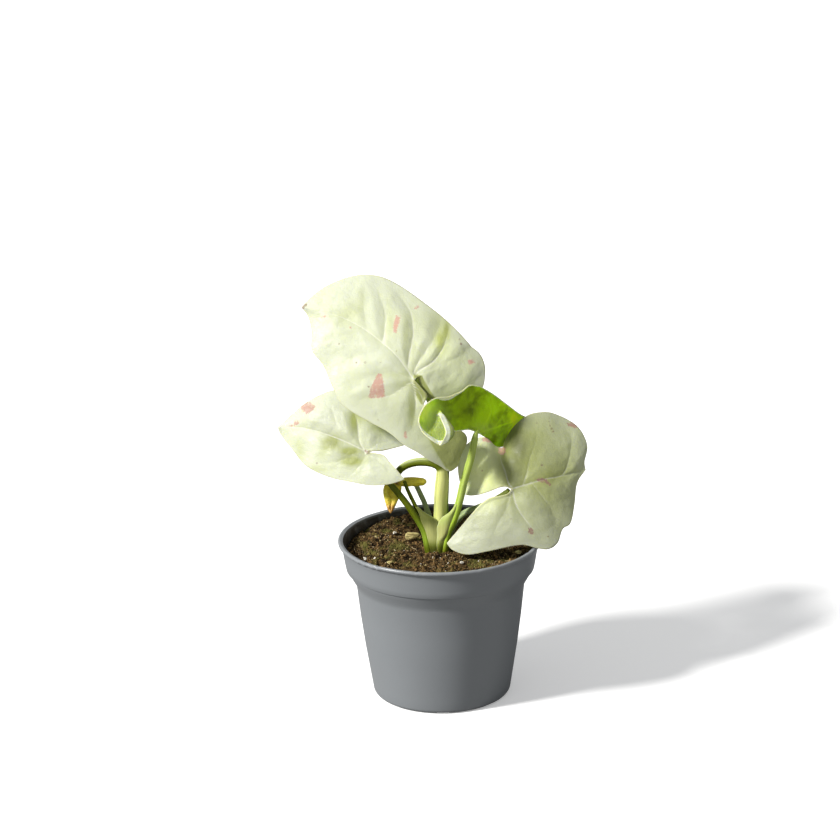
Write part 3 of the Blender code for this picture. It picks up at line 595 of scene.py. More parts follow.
class StageSettings(bpy.types.PropertyGroup):
    """Floor, light and camera"""
    sun_strength: bpy.props.FloatProperty(
        name="Key light", description="Strength of the soft key light", default=5.4, min=0.0)
    sun_size: bpy.props.FloatProperty(
        name="Key size", description="Angular size of the key light",
        default=math.radians(9.5), min=0.0, subtype="ANGLE")
    sky_strength: bpy.props.FloatProperty(
        name="Fill light", description="Strength of the even fill light", default=0.42, min=0.0)
    floor_glow: bpy.props.FloatProperty(
        name="Floor glow", description="Light added to the floor so that it stays pale",
        default=0.28, min=0.0)
    floor_bounce: bpy.props.FloatProperty(
        name="Floor bounce", description="Share of the light that the floor sends back at the plant",
        default=0.3, min=0.0, max=1.0)
    floor_size: bpy.props.FloatProperty(
        name="Floor size", description="Side of the floor", default=14.0, min=1.0, subtype="DISTANCE")
    camera_distance: bpy.props.FloatProperty(
        name="Camera distance", description="Distance from the camera to its target",
        default=1.2, min=0.2, subtype="DISTANCE")


# Shape helpers

def leaning_place():
    """Matrix from (right, up, near) millimetres at the crown to metres in the part's frame."""
    right = Vector((1, 0, 0))
    up = Vector((0, math.sin(LEAN), math.cos(LEAN)))
    turn = Matrix((right, up, TOWARDS_VIEWER)).transposed().to_4x4()
    return Matrix.Scale(MM, 4) @ Matrix.Translation(CROWN) @ turn


def sinus_line(midrib, half):
    """Even points from the joint to the basal lobe's end."""
    return evenly(smooth_line([midrib[0]] + half["sinus"] + [half["lobe"][-1]]), LOBE_ROWS)


def smooth_line(points, steps=CURVE_STEPS):
    """Catmull-Rom curve through the points."""
    points = [Vector(point) for point in points]
    padded = [points[0] * 2 - points[1]] + points + [points[-1] * 2 - points[-2]]
    line = []
    for a, b, c, d in zip(padded, padded[1:], padded[2:], padded[3:]):
        for step in range(steps):
            t = step / steps
            line.append(0.5 * (2 * b + (c - a) * t + (2 * a - 5 * b + 4 * c - d) * t ** 2
                               + (3 * b - a - 3 * c + d) * t ** 3))
    line.append(points[-1])
    return line


def evenly(line, count):
    """Resample a polyline to count equal steps."""
    lengths = [0.0]
    for first, second in zip(line, line[1:]):
        lengths.append(lengths[-1] + (second - first).length)
    result = []
    index = 0
    for step in range(count + 1):
        target = lengths[-1] * step / count
        while index < len(line) - 2 and lengths[index + 1] < target:
            index += 1
        span = max(lengths[index + 1] - lengths[index], TINY)
        result.append(line[index].lerp(line[index + 1], min(1.0, (target - lengths[index]) / span)))
    return result


def across(inner, outer, bulge):
    """Points from the midrib side to the margin, swollen by the bulge vector in between."""
    return [inner.lerp(outer, column / COLUMNS) + bulge * math.sin(math.pi * column / COLUMNS)
            for column in range(COLUMNS + 1)]


def blade_half(midrib, half):
    """Rows of points from the basal lobe's end, past the joint, to the leaf's tip."""
    joint, tip = Vector(midrib[0]), Vector(midrib[-1])
    rib = evenly(smooth_line(midrib), BLADE_ROWS)
    shoulder = Vector(half["margin"][-1])
    swell = (shoulder - joint).cross(tip - joint).normalized()
    swell *= half["bulge"] * (1 if swell.z > 0 else -1)
    margin = smooth_line([midrib[-1]] + half["margin"] + half.get("lobe", []))
    turn = len(half["margin"]) * CURVE_STEPS
    outer = evenly(margin[turn::-1], BLADE_ROWS)
    rows = [across(a, b, swell * (1 - index / BLADE_ROWS)) for index, (a, b) in enumerate(zip(rib, outer))]
    if "rolled" in half:
        first = rows[0]
        third = COLUMNS // 3
        lobe_rows = net_rows([[first[0], first[third], first[2 * third], first[-1]]] + half["rolled"])
    else:
        lobe = evenly(margin[turn:], LOBE_ROWS)
        lobe_rows = [across(a, b, swell * (1 - index / LOBE_ROWS))
                     for index, (a, b) in enumerate(zip(sinus_line(midrib, half), lobe))]
    return lobe_rows[:0:-1] + rows


def sinus_fold(midrib, half, reach):
    """Rows of a narrow band that turns back along the sinus, widest near the joint."""
    count = LOBE_ROWS * 3 // 4
    rows = []
    for index, point in enumerate(sinus_line(midrib, half)[1:count]):
        share = math.sin(math.pi * ((index + 1) / count) ** 0.7)
        rows.append([point + Vector(reach) * share * math.sin(math.pi / 2 * step / FOLD_COLUMNS)
                     for step in range(FOLD_COLUMNS + 1)])
    return rows


def soft_ovals(places, ovals):
    """Sum of soft-edged ovals, each (right, up, radius across, radius up, strength)."""
    total = np.zeros(len(places))
    for right, up, wide_radius, tall_radius, strength in ovals:
        far = ((places[:, 0] - right) / wide_radius) ** 2 + ((places[:, 1] - up) / tall_radius) ** 2
        total += strength * np.exp(-far)
    return total


def rise(values, start, width):
    """0 up to the start, 1 from that far beyond it, and even in between."""
    return np.clip((values - start) / width, 0, 1)


def clamp(value):
    """The value, kept between 0 and 1."""
    return min(1.0, max(0.0, value))


def relax(bm, verts, rounds):
    """Even out the verts of a surface."""
    for _ in range(rounds):
        bmesh.ops.smooth_vert(bm, verts=verts, factor=0.5, use_axis_x=True, use_axis_y=True,
                              use_axis_z=True)


def finished_mesh(bm, name):
    """Turn a bmesh into a new mesh."""
    mesh = bpy.data.meshes.new(name)
    bm.to_mesh(mesh)
    bm.free()
    return mesh


def plain_mesh(name, verts, faces):
    """New mesh from points and faces."""
    mesh = bpy.data.meshes.new(name)
    mesh.from_pydata(verts, [], faces)
    return mesh


def face_outwards(mesh):
    """Turn all faces of a closed mesh outwards."""
    bm = bmesh.new()
    bm.from_mesh(mesh)
    bmesh.ops.recalc_face_normals(bm, faces=bm.faces)
    bm.to_mesh(mesh)
    bm.free()


def net_rows(ribs, steps=8):
    """Rows through a net of ribs, the last of which may be a single point."""
    width = len(ribs[0])
    ribs = [rib if len(rib) > 1 else rib * width for rib in ribs]
    columns = [smooth_line([rib[column] for rib in ribs], steps) for column in range(width)]
    rows = []
    for points in zip(*columns):
        if (points[0] - points[-1]).length < SHORTEST_EDGE:
            rows.append([points[0]] * (COLUMNS + 1))
        else:
            rows.append(evenly(smooth_line(points), COLUMNS))
    return rows


def segment_distance(places, line):
    """Distance of each (right, up) place to a polyline, and how far along the line it is."""
    line = np.array(line)
    best = np.full(len(places), np.inf)
    along = np.zeros(len(places))
    count = len(line) - 1
    for index in range(count):
        start, step = line[index], line[index + 1] - line[index]
        share = np.clip((places - start) @ step / max(step @ step, TINY), 0, 1)
        reach = np.linalg.norm(places - (start + share[:, None] * step), axis=1)
        closer = reach < best
        best[closer] = reach[closer]
        along[closer] = (index + share[closer]) / count
    return best, along


def inside_distance(places, outline):
    """Signed distance to a closed outline, positive inside it."""
    reach, _ = segment_distance(places, list(outline) + [outline[0]])
    inside = np.zeros(len(places), bool)
    for (x0, y0), (x1, y1) in zip(outline, list(outline[1:]) + [outline[0]]):
        crosses = (y0 > places[:, 1]) != (y1 > places[:, 1])
        at = (x1 - x0) * (places[:, 1] - y0) / (y1 - y0 if y1 != y0 else TINY) + x0
        inside ^= crosses & (places[:, 0] < at)
    return np.where(inside, reach, -reach)


def store(mesh, name, values):
    """Keep one number for each point of the mesh."""
    mesh.attributes.new(name, "FLOAT", "POINT").data.foreach_set("value", np.asarray(values, np.float32))


def vein_fields(places, veins, groove_width=0.55, pillow_width=3.4):
    """Closeness to a vein, narrow and wide, from 0 to 1."""
    narrow = np.zeros(len(places))
    wide = np.zeros(len(places))
    for strength, line in veins:
        curve = smooth_line([(x, y, 0) for x, y in line], steps=6)
        reach, along = segment_distance(places, [point[:2] for point in evenly(curve, VEIN_STEPS)])
        fade = strength * (1 - 0.75 * along ** 2)
        narrow = np.maximum(narrow, fade * np.exp(-(reach / groove_width) ** 2))
        wide = np.maximum(wide, fade * np.exp(-(reach / pillow_width) ** 2))
    return narrow, wide


def sheet_bmesh(grids):
    """Join grids of points into one sheet that faces the viewer, in millimetres."""
    bm = bmesh.new()
    for rows in grids:
        verts = [[bm.verts.new(point) for point in row] for row in rows]
        for upper, lower in zip(verts, verts[1:]):
            for a, b, c, d in zip(upper, upper[1:], lower[1:], lower):
                bm.faces.new((a, b, c, d))
    bmesh.ops.remove_doubles(bm, verts=bm.verts, dist=WELD_GAP)
    bmesh.ops.dissolve_degenerate(bm, dist=SHORTEST_EDGE, edges=bm.edges)
    bmesh.ops.recalc_face_normals(bm, faces=bm.faces)
    if sum(face.normal.z * face.calc_area() for face in bm.faces) < 0:
        bmesh.ops.reverse_faces(bm, faces=bm.faces)
    return bm


def link(name, data):
    """New object in the scene."""
    item = bpy.data.objects.new(name, data)
    bpy.context.scene.collection.objects.link(item)
    return item


def settle(item):
    """Apply an object's modifiers, so that it is a plain mesh."""
    graph = bpy.context.evaluated_depsgraph_get()
    mesh = bpy.data.meshes.new_from_object(item.evaluated_get(graph), preserve_all_data_layers=True,
                                           depsgraph=graph)
    item.modifiers.clear()
    old = item.data
    item.data = mesh
    bpy.data.meshes.remove(old)
    mesh.name = item.name
    return item


def keep(item, slot, *nodes):
    """Let a finished piece ride on the plant's one body, in place of its solids."""
    item.data.shade_smooth()
    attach(item, "root")
    for node in nodes:
        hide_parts(node)
    return item


def thicken(item, thickness, back_slot=1, rim_slot=2):
    """Give a sheet its thickness in millimetres, and its back and rim their own materials."""
    solid = item.modifiers.new("thickness", "SOLIDIFY")
    solid.thickness = thickness * MM
    solid.offset = 0.0
    solid.material_offset = back_slot
    solid.material_offset_rim = rim_slot


def leaf_mesh(name, leaf, settings, viewer_sees_back=False):
    """Blade surface with pressed-in veins, and the fields that its finish reads."""
    grids = [blade_half(leaf["midrib"], half) for half in leaf["halves"]]
    if "fold" in leaf:
        grids.append(sinus_fold(leaf["midrib"], leaf["halves"][0], leaf["fold"]))
    bm = sheet_bmesh(grids)
    relax(bm, [vert for vert in bm.verts if not vert.is_boundary], RELAX_STEPS)
    bm.normal_update()
    spots = np.array([vert.co for vert in bm.verts])
    normals = np.array([vert.normal for vert in bm.verts])
    places = spots[:, :2]
    edge = edge_distance(spots, np.array([vert.co for vert in bm.verts if vert.is_boundary]))
    midrib = (MIDRIB_STRENGTH, [point[:2] for point in leaf["midrib"]])
    narrow, wide = vein_fields(places, leaf["veins"] + [midrib])
    flat = np.clip(edge / FLAT_MARGIN, 0, 1)
    waves = np.array([noise.fractal(Vector(spot) * 0.11, 1.0, 2.0, 3) for spot in spots])
    puckers = np.array([noise.noise(Vector(spot) * 0.55) for spot in spots])
    side = -1 if viewer_sees_back else 1
    pucker_depth = 0.16 if viewer_sees_back else 0.06
    height = -side * flat * (settings.vein_depth * narrow + settings.pillow_depth * wide)
    height += WAVE_DEPTH * waves * np.clip(edge / 4, 0.25, 1) + pucker_depth * puckers * flat
    place = leaning_place()
    for vert, spot in zip(bm.verts, spots + normals * height[:, None]):
        vert.co = place @ Vector(spot)
    mesh = finished_mesh(bm, name)
    outside = np.full(len(places), OUTSIDE_SPOTS)
    pink = [inside_distance(places, outline) for outline in leaf["spots"]]
    dark = [radius - np.hypot(places[:, 0] - right, places[:, 1] - up)
            for right, up, radius in leaf["flecks"]]
    tint = soft_ovals(places, leaf["tints_and_painted_shade"])
    # The tone is painted light and shade: a base brightness, ovals that paint light where their gain is above
    # 0 and shade below it, and patches that paint green shade.
    tone = leaf["tone"] + soft_ovals(places, leaf["lights"])
    for outline, softness, strength, gain in leaf["patches"]:
        share = np.clip(0.5 + inside_distance(places, outline) / softness, 0, 1)
        tint += strength * share
        tone += gain * share
    fields = {"vein": narrow, "halo": wide, "margin": edge, "pink": np.max([outside, *pink], axis=0),
              "dark": np.max([outside, *dark], axis=0), "tint": tint, "tone": tone}
    for label, values in fields.items():
        store(mesh, label, values)
    return mesh


def edge_distance(spots, rim):
    """Distance from each point to the nearest point of the rim."""
    batch = 512
    result = np.empty(len(spots))
    for start in range(0, len(spots), batch):
        part = spots[start:start + batch]
        result[start:start + batch] = np.sqrt(((part[:, None] - rim[None]) ** 2).sum(2)).min(1)
    return result


# Finish helpers

def finish(name):
    """A new material with its node tree and its shader."""
    material = bpy.data.materials.new(name)
    material.use_nodes = True
    tree = material.node_tree
    return material, tree, tree.nodes["Principled BSDF"]


def add(tree, kind, **values):
    """Add a node, set or link its inputs by name, and set its other properties."""
    item = tree.nodes.new(kind)
    for key, value in values.items():
        if key in item.inputs:
            plug(tree, value, item.inputs[key])
        else:
            setattr(item, key, value)
    return item


def plug(tree, value, socket):
    """Link an output to a socket, or set the socket's own value."""
    if isinstance(value, bpy.types.NodeSocket):
        tree.links.new(value, socket)
    else:
        is_plain_colour = socket.type == "RGBA" and len(value) == 3
        socket.default_value = (*value, 1.0) if is_plain_colour else value


def socket_of(sockets, kind, name=None):
    """First socket of a kind, and of a name where one is given."""
    return next(socket for socket in sockets if socket.type == kind and name in (None, socket.name))


def object_place(tree):
    """Object coordinates."""
    return tree.nodes.new("ShaderNodeTexCoord").outputs["Object"]


def mix(tree, share, first, second, mode="MIX"):
    """Mix two colours by a share from 0 to 1."""
    item = add(tree, "ShaderNodeMix", data_type="RGBA", blend_type=mode, Factor=share)
    plug(tree, first, socket_of(item.inputs, "RGBA", "A"))
    plug(tree, second, socket_of(item.inputs, "RGBA", "B"))
    return socket_of(item.outputs, "RGBA")


def maths(tree, operation, *values):
    """Result of an operation on one or two values."""
    item = tree.nodes.new("ShaderNodeMath")
    item.operation = operation
    for socket, value in zip(item.inputs, values):
        plug(tree, value, socket)
    return item.outputs[0]


def times(tree, first, second):
    """Product of two values."""
    return maths(tree, "MULTIPLY", first, second)


def ramp(tree, value, low, high):
    """Map a value from low..high to 0..1, smoothly."""
    limits = {"From Min": low, "From Max": high}
    item = add(tree, "ShaderNodeMapRange", interpolation_type="SMOOTHSTEP", Value=value, **limits)
    return item.outputs["Result"]


def field(tree, name):
    """One of the numbers that are stored on the mesh."""
    return add(tree, "ShaderNodeAttribute", attribute_name=name).outputs["Fac"]


def grain(tree, scale, detail=3.0, rough=0.55, where=None):
    """Noise over object coordinates, from 0 to 1."""
    if where is None:
        where = object_place(tree)
    item = add(tree, "ShaderNodeTexNoise", Scale=scale, Detail=detail, Roughness=rough, Vector=where)
    return item.outputs["Fac"]


def make_group(name, inputs, output_name):
    """Shader node group with float inputs and one float output."""
    tree = bpy.data.node_groups.new(name, "ShaderNodeTree")
    for label, default in inputs:
        socket = tree.interface.new_socket(label, in_out="INPUT", socket_type="NodeSocketFloat")
        socket.default_value = default
    tree.interface.new_socket(output_name, in_out="OUTPUT", socket_type="NodeSocketFloat")
    return tree, tree.nodes.new("NodeGroupInput").outputs, tree.nodes.new("NodeGroupOutput").inputs


def ragged_mask_group():
    """Turns a distance in millimetres into a mask with a ragged edge."""
    name = "Ragged Mask"
    if name in bpy.data.node_groups:
        return bpy.data.node_groups[name]
    tree, given, out = make_group(name, [("Distance", 0.0), ("Raggedness", 0.5), ("Softness", 0.2)], "Mask")
    rough = maths(tree, "SUBTRACT", grain(tree, 1400.0, 4.0, 0.6), 0.5)
    moved = maths(tree, "ADD", given["Distance"], times(tree, rough, given["Raggedness"]))
    plug(tree, ramp(tree, maths(tree, "DIVIDE", moved, given["Softness"]), -1.0, 1.0), out["Mask"])
    return tree


def leaf_skin_group():
    """Height of the fine net of cells between a leaf's veins."""
    name = "Leaf Skin"
    if name in bpy.data.node_groups:
        return bpy.data.node_groups[name]
    tree, given, out = make_group(name, [("Cells", 1.0), ("Grain", 0.4), ("Vein", 0.0)], "Height")
    cells = add(tree, "ShaderNodeTexVoronoi", feature="DISTANCE_TO_EDGE", Scale=520.0,
                Vector=object_place(tree))
    net = times(tree, ramp(tree, cells.outputs["Distance"], 0.0, 0.16), given["Cells"])
    fine = times(tree, grain(tree, 3200.0, 2.0), given["Grain"])
    total = maths(tree, "ADD", net, fine)
    plug(tree, maths(tree, "SUBTRACT", total, given["Vein"]), out["Height"])
    return tree


def use_group(tree, group, **values):
    """Output of a node group with these inputs."""
    return add(tree, "ShaderNodeGroup", node_tree=group, **values).outputs[0]


def bump(tree, height, shader, distance, strength=1.0):
    """Roughen the surface by a height field, without moving it."""
    item = add(tree, "ShaderNodeBump", Strength=strength, Distance=distance, Height=height)
    tree.links.new(item.outputs["Normal"], shader.inputs["Normal"])


def leaf_bump(tree, shader, cells, fine, vein_share, distance):
    """Bumps of a leaf's skin, whose veins are sunken for a share above 0 and raised below it."""
    vein = times(tree, field(tree, "vein"), vein_share)
    skin = use_group(tree, leaf_skin_group(), Cells=cells, Grain=fine, Vein=vein)
    bump(tree, skin, shader, distance, 0.8)


def cream_band(tree, softness):
    """Mask of the young leaf's cream margin, as wide as its cream field says."""
    reach = maths(tree, "SUBTRACT", field(tree, "cream"), field(tree, "margin"))
    return use_group(tree, ragged_mask_group(), Distance=reach, Raggedness=1.2, Softness=softness)


def paint(tree, shader, colour, roughness, specular=0.5):
    """Give the shader its colour, its roughness and its specular level."""
    plug(tree, colour, shader.inputs["Base Color"])
    plug(tree, roughness, shader.inputs["Roughness"])
    shader.inputs["Specular IOR Level"].default_value = specular


def let_light_through(shader, weight, radius, scale):
    """Let light spread under the surface, over this radius for red, green and blue."""
    shader.inputs["Subsurface Weight"].default_value = weight
    shader.inputs["Subsurface Radius"].default_value = radius
    shader.inputs["Subsurface Scale"].default_value = scale


def scaled(colour, share):
    """The colour, lighter or darker by a share."""
    return tuple(share * value for value in colour)


def cream_face(leaf):
    """Pale upper face with green tints, pink flecks, light veins and painted light and shade."""
    material, tree, shader = finish("leaf_upper_face")
    broad = ramp(tree, grain(tree, 70.0, 3.0), 0.35, 0.75)
    # The green round the veins is partly the leaf's own colour and partly painted shade beside them.
    halo = times(tree, field(tree, "halo"), 0.22)
    # The green tint is partly the blade's own green and partly painted green shade, where a part lies in
    # shadow.
    tint = maths(tree, "ADD", times(tree, field(tree, "tint"), 0.62),
                 maths(tree, "ADD", times(tree, broad, 0.16), halo))
    colour = mix(tree, maths(tree, "MINIMUM", tint, 1.0), leaf.cream, leaf.green)
    mottle = ramp(tree, grain(tree, 420.0, 4.0), 0.3, 0.8)
    colour = mix(tree, times(tree, mottle, 0.10), colour, scaled(leaf.green, 1.25))
    veins = times(tree, ramp(tree, field(tree, "vein"), 0.25, 0.95), 0.8)
    colour = mix(tree, veins, colour, leaf.vein)
    near_edge = ramp(tree, times(tree, field(tree, "margin"), -1.0), -0.7, -0.1)
    colour = mix(tree, times(tree, near_edge, 0.35), colour, (0.66, 0.62, 0.34))
    ragged = ragged_mask_group()
    pink = use_group(tree, ragged, Distance=field(tree, "pink"), Raggedness=2.2, Softness=0.3)
    patchy = times(tree, pink, ramp(tree, grain(tree, 700.0, 3.0), 0.1, 0.55))
    # The pink is dimmed by the same painted light and shade.
    deep = mix(tree, 1.0, leaf.pink, field(tree, "tone"), "MULTIPLY")
    colour = mix(tree, times(tree, patchy, 0.92), colour, deep)
    dark = use_group(tree, ragged, Distance=field(tree, "dark"), Raggedness=0.5, Softness=0.3)
    colour = mix(tree, times(tree, dark, 0.75), colour, (0.22, 0.13, 0.08))
    # Painted light and shade: the colour is multiplied by the tone field.
    colour = mix(tree, 1.0, colour, field(tree, "tone"), "MULTIPLY")
    paint(tree, shader, colour, maths(tree, "ADD", 0.42, times(tree, mottle, 0.12)), 0.3)
    leaf_bump(tree, shader, 0.5, 0.5, 1.0, 0.00007)
    let_light_through(shader, 0.3, (1.0, 1.0, 0.35), 0.0009)
    return material


def back_face(leaf):
    """Underside with raised veins."""
    material, tree, shader = finish("leaf_back")
    broad = ramp(tree, grain(tree, 120.0, 3.0), 0.3, 0.75)
    colour = mix(tree, times(tree, broad, 0.55), leaf.back, scaled(leaf.back, 0.62))
    light = ramp(tree, field(tree, "vein"), 0.3, 0.95)
    paint(tree, shader, mix(tree, times(tree, light, 0.7), colour, scaled(leaf.back, 1.1)), 0.5)
    leaf_bump(tree, shader, -0.6, 0.4, -1.0, 0.00008)
    let_light_through(shader, 0.3, (1.0, 1.0, 0.25), 0.001)
    return material


def young_back_face(leaf):
    """Bright green underside with a cream margin that widens round the rolled lobe."""
    material, tree, shader = finish("young_leaf_underside")
    broad = ramp(tree, grain(tree, 110.0, 2.0), 0.35, 0.7)
    colour = mix(tree, broad, scaled(leaf.young, 1.3), scaled(leaf.young, 0.54))
    streaks = ramp(tree, grain(tree, 420.0, 3.0), 0.45, 0.8)
    colour = mix(tree, times(tree, streaks, 0.45), colour, scaled(leaf.young, 1.5))
    light = ramp(tree, field(tree, "vein"), 0.3, 0.95)
    colour = mix(tree, times(tree, light, 0.4), colour, scaled(leaf.young, 1.7))
    colour = mix(tree, maths(tree, "MINIMUM", field(tree, "tint"), 1.0), colour, (0.36, 0.44, 0.12))
    # Painted light and shade: the colour is multiplied by the tone field.
    colour = mix(tree, 1.0, colour, field(tree, "tone"), "MULTIPLY")
    # The cream margin is painted a quarter lighter than the cream, as painted light.
    paint(tree, shader, mix(tree, cream_band(tree, 0.3), colour, scaled(leaf.cream, 1.25)), 0.5, 0.12)
    leaf_bump(tree, shader, 0.8, 0.4, -1.0, 0.0001)
    let_light_through(shader, 0.7, (0.9, 1.0, 0.1), 0.001)
    return material


def young_inner_face(leaf):
    """Green inside of the rolled lobe, with the same cream margin."""
    material, tree, shader = finish("young_leaf_inner_face")
    broad = ramp(tree, grain(tree, 120.0, 3.0), 0.3, 0.75)
    colour = mix(tree, broad, (0.34, 0.39, 0.13), (0.25, 0.33, 0.08))
    light = ramp(tree, field(tree, "vein"), 0.3, 0.95)
    colour = mix(tree, times(tree, light, 0.5), colour, leaf.vein)
    # The cream margin is painted a quarter lighter than the cream, as painted light.
    paint(tree, shader, mix(tree, cream_band(tree, 0.5), colour, scaled(leaf.cream, 1.25)), 0.5, 0.2)
    let_light_through(shader, 0.4, (1.0, 1.0, 0.25), 0.001)
    return material


def cut_edge(name):
    """Pale narrow edge of a blade."""
    material, tree, shader = finish(name)
    mottle = ramp(tree, grain(tree, 600.0, 2.0), 0.3, 0.7)
    paint(tree, shader, mix(tree, mottle, (0.62, 0.62, 0.36), (0.44, 0.46, 0.2)), 0.5)
    return material


def stalk_finish(name, colours, fades):
    """Smooth green stalk, fine lengthwise streaks, painted shade and light, and a darker, browner foot."""
    material, tree, shader = finish(name)
    base, middle, end = colours
    along = field(tree, "along")
    colour = mix(tree, ramp(tree, along, *fades[0]), base, middle)
    colour = mix(tree, ramp(tree, along, *fades[1]), colour, end)
    where = add(tree, "ShaderNodeUVMap", uv_map="stalk")
    stretch = add(tree, "ShaderNodeMapping", Vector=where.outputs["UV"], Scale=(26.0, 1.6, 1.0))
    streaks = ramp(tree, grain(tree, 1.0, 3.0, 0.6, stretch.outputs["Vector"]), 0.35, 0.7)
    dull = mix(tree, 1.0, colour, (0.72, 0.76, 0.6), "MULTIPLY")
    colour = mix(tree, times(tree, streaks, 0.4), colour, dull)
    # Painted shade: the channel's groove is painted darker; the same field darkens a sheath towards its foot
    shade = mix(tree, 1.0, colour, (0.5, 0.55, 0.4), "MULTIPLY")
    colour = mix(tree, times(tree, field(tree, "groove"), 0.6), colour, shade)
    # Painted light on the top of a crested stalk; on a sheath, its own pale margin
    colour = mix(tree, times(tree, field(tree, "lip"), 0.8), colour, (0.50, 0.56, 0.26))
    height = add(tree, "ShaderNodeSeparateXYZ", Vector=object_place(tree)).outputs["Z"]
    # Darker and browner towards the foot, near the soil.
    darker_foot = maths(tree, "SUBTRACT", 1.0, ramp(tree, height, *FOOT_DARKENING))
    colour = mix(tree, darker_foot, colour, mix(tree, 1.0, colour, (0.4, 0.34, 0.12), "MULTIPLY"))
    paint(tree, shader, colour, maths(tree, "ADD", 0.42, times(tree, streaks, 0.14)), 0.2)
    bump(tree, maths(tree, "ADD", streaks, grain(tree, 2600.0, 2.0)), shader, 0.00005, 0.6)
    let_light_through(shader, 0.25, (1.0, 1.0, 0.25), 0.0012)
    return material


def withered_finish(leaf):
    """Limp yellow blade that turns orange and brown towards its tip."""
    material, tree, shader = finish("withered_leaf")
    colour = mix(tree, ramp(tree, field(tree, "along"), 0.5, 0.9), leaf.withered, (0.42, 0.20, 0.03))
    patches = ramp(tree, grain(tree, 330.0, 4.0), 0.45, 0.75)
    colour = mix(tree, times(tree, patches, 0.4), colour, (0.22, 0.19, 0.02))
    brown = ramp(tree, field(tree, "brown"), 0.0, 1.0)
    paint(tree, shader, mix(tree, brown, colour, (0.24, 0.07, 0.015)), 0.55)
    bump(tree, maths(tree, "ADD", grain(tree, 900.0, 4.0), patches), shader, 0.00018, 0.8)
    let_light_through(shader, 0.35, (1.0, 0.8, 0.15), 0.0009)
    return material


def plastic_finish(pot):
    """Matt grey moulded plastic with a faint sheen, a lip paler by wear and painted highlight, painted inner
    shade.
    """
    material, tree, shader = finish("moulded_plastic")
    lip = field(tree, "lip")
    cloud = ramp(tree, grain(tree, 24.0, 3.0), 0.3, 0.75)
    colour = mix(tree, times(tree, cloud, 0.3), pot.colour, scaled(pot.colour, 1.12))
    specks = ramp(tree, grain(tree, 1500.0, 2.0), 0.68, 0.8)
    colour = mix(tree, times(tree, specks, 0.2), colour, (0.34, 0.34, 0.33))
    # The paler lip is partly wear and partly a painted highlight
    worn_and_highlight = times(tree, lip, ramp(tree, grain(tree, 160.0, 4.0), 0.2, 0.85))
    colour = mix(tree, times(tree, worn_and_highlight, 0.24), colour, (0.36, 0.37, 0.38))
    # Painted shade: the inner wall is painted nearly black in patches
    patchy_inner_shade = times(tree, field(tree, "stain"), ramp(tree, grain(tree, 210.0, 4.0), 0.1, 0.6))
    colour = mix(tree, patchy_inner_shade, colour, (0.022, 0.018, 0.012))
    rough = maths(tree, "ADD", 0.36, times(tree, cloud, 0.10))
    paint(tree, shader, colour, maths(tree, "SUBTRACT", rough, times(tree, lip, 0.09)))
    bump(tree, maths(tree, "ADD", grain(tree, 2200.0, 3.0), times(tree, cloud, 2.0)), shader, 0.00004, 0.5)
    return material


def soil_finish(name, soil, lift=1.0):
    """Crumbly peat: dark lumps with lighter fibres and a few green specks."""
    material, tree, shader = finish(name)
    coarse = ramp(tree, grain(tree, 480.0, 5.0, 0.65), 0.38, 0.66)
    colour = mix(tree, coarse, scaled(soil.dark, lift), scaled(soil.light, lift))
    tone = field(tree, "tone")
    colour = mix(tree, ramp(tree, tone, 0.6, 0.92), colour, scaled((0.17, 0.10, 0.04), lift))
    colour = mix(tree, ramp(tree, tone, 0.955, 0.97), colour, (0.42, 0.34, 0.16))
    green = ramp(tree, grain(tree, 130.0, 3.0), 0.52, 0.66)
    paint(tree, shader, mix(tree, times(tree, green, 0.6), colour, (0.13, 0.13, 0.03)), 0.92, 0.1)
    bump(tree, grain(tree, 1600.0, 5.0, 0.7), shader, 0.0004, 0.9)
    return material


def fibre_finish():
    """Dry plant fibre, from brown to straw."""
    material, tree, shader = finish("plant_fibre")
    colour = mix(tree, ramp(tree, field(tree, "tone"), 0.2, 0.9), (0.14, 0.085, 0.04), (0.38, 0.29, 0.16))
    pale = ramp(tree, grain(tree, 800.0, 2.0), 0.5, 0.8)
    paint(tree, shader, mix(tree, times(tree, pale, 0.5), colour, (0.45, 0.38, 0.24)), 0.85)
    return material


def bark_finish():
    """Weathered bark chip with lengthwise grain and darker pits."""
    material, tree, shader = finish("bark_chip")
    stretch = add(tree, "ShaderNodeMapping", Vector=object_place(tree), Scale=(0.35, 1.4, 1.4))
    rings = ramp(tree, grain(tree, 900.0, 4.0, 0.6, stretch.outputs["Vector"]), 0.35, 0.68)
    colour = mix(tree, rings, (0.30, 0.23, 0.08), (0.76, 0.66, 0.28))
    pits = ramp(tree, grain(tree, 1500.0, 3.0), 0.66, 0.78)
    paint(tree, shader, mix(tree, pits, colour, (0.06, 0.035, 0.015)), 0.85)
    bump(tree, rings, shader, 0.0002, 0.8)
    return material


def perlite_finish():
    """Porous off-white grain."""
    material, tree, shader = finish("perlite")
    pores = ramp(tree, grain(tree, 1800.0, 4.0, 0.7), 0.35, 0.6)
    paint(tree, shader, mix(tree, pores, (0.42, 0.36, 0.26), (0.78, 0.76, 0.68)), 0.8)
    bump(tree, pores, shader, 0.0002, 0.8)
    return material


def root_finish():
    """Brown root with pale rings."""
    material, tree, shader = finish("root_bark")
    rings = ramp(tree, grain(tree, 600.0, 4.0), 0.3, 0.7)
    paint(tree, shader, mix(tree, rings, (0.30, 0.22, 0.12), (0.52, 0.44, 0.28)), 0.8)
    bump(tree, rings, shader, 0.0002, 0.6)
    return material


# Pieces

def make_leaf(name, settings):
    """One pale leaf blade, thickened, with its own finishes for face, back and edge."""
    item = link("leaf_" + name, leaf_mesh("leaf_" + name, LEAVES[name], settings))
    for material in (cream_face(settings), back_face(settings), cut_edge("leaf_edge")):
        item.data.materials.append(material)
    thicken(item, settings.thickness)
    return keep(settle(item), "leaf_cream", "blade_" + name)


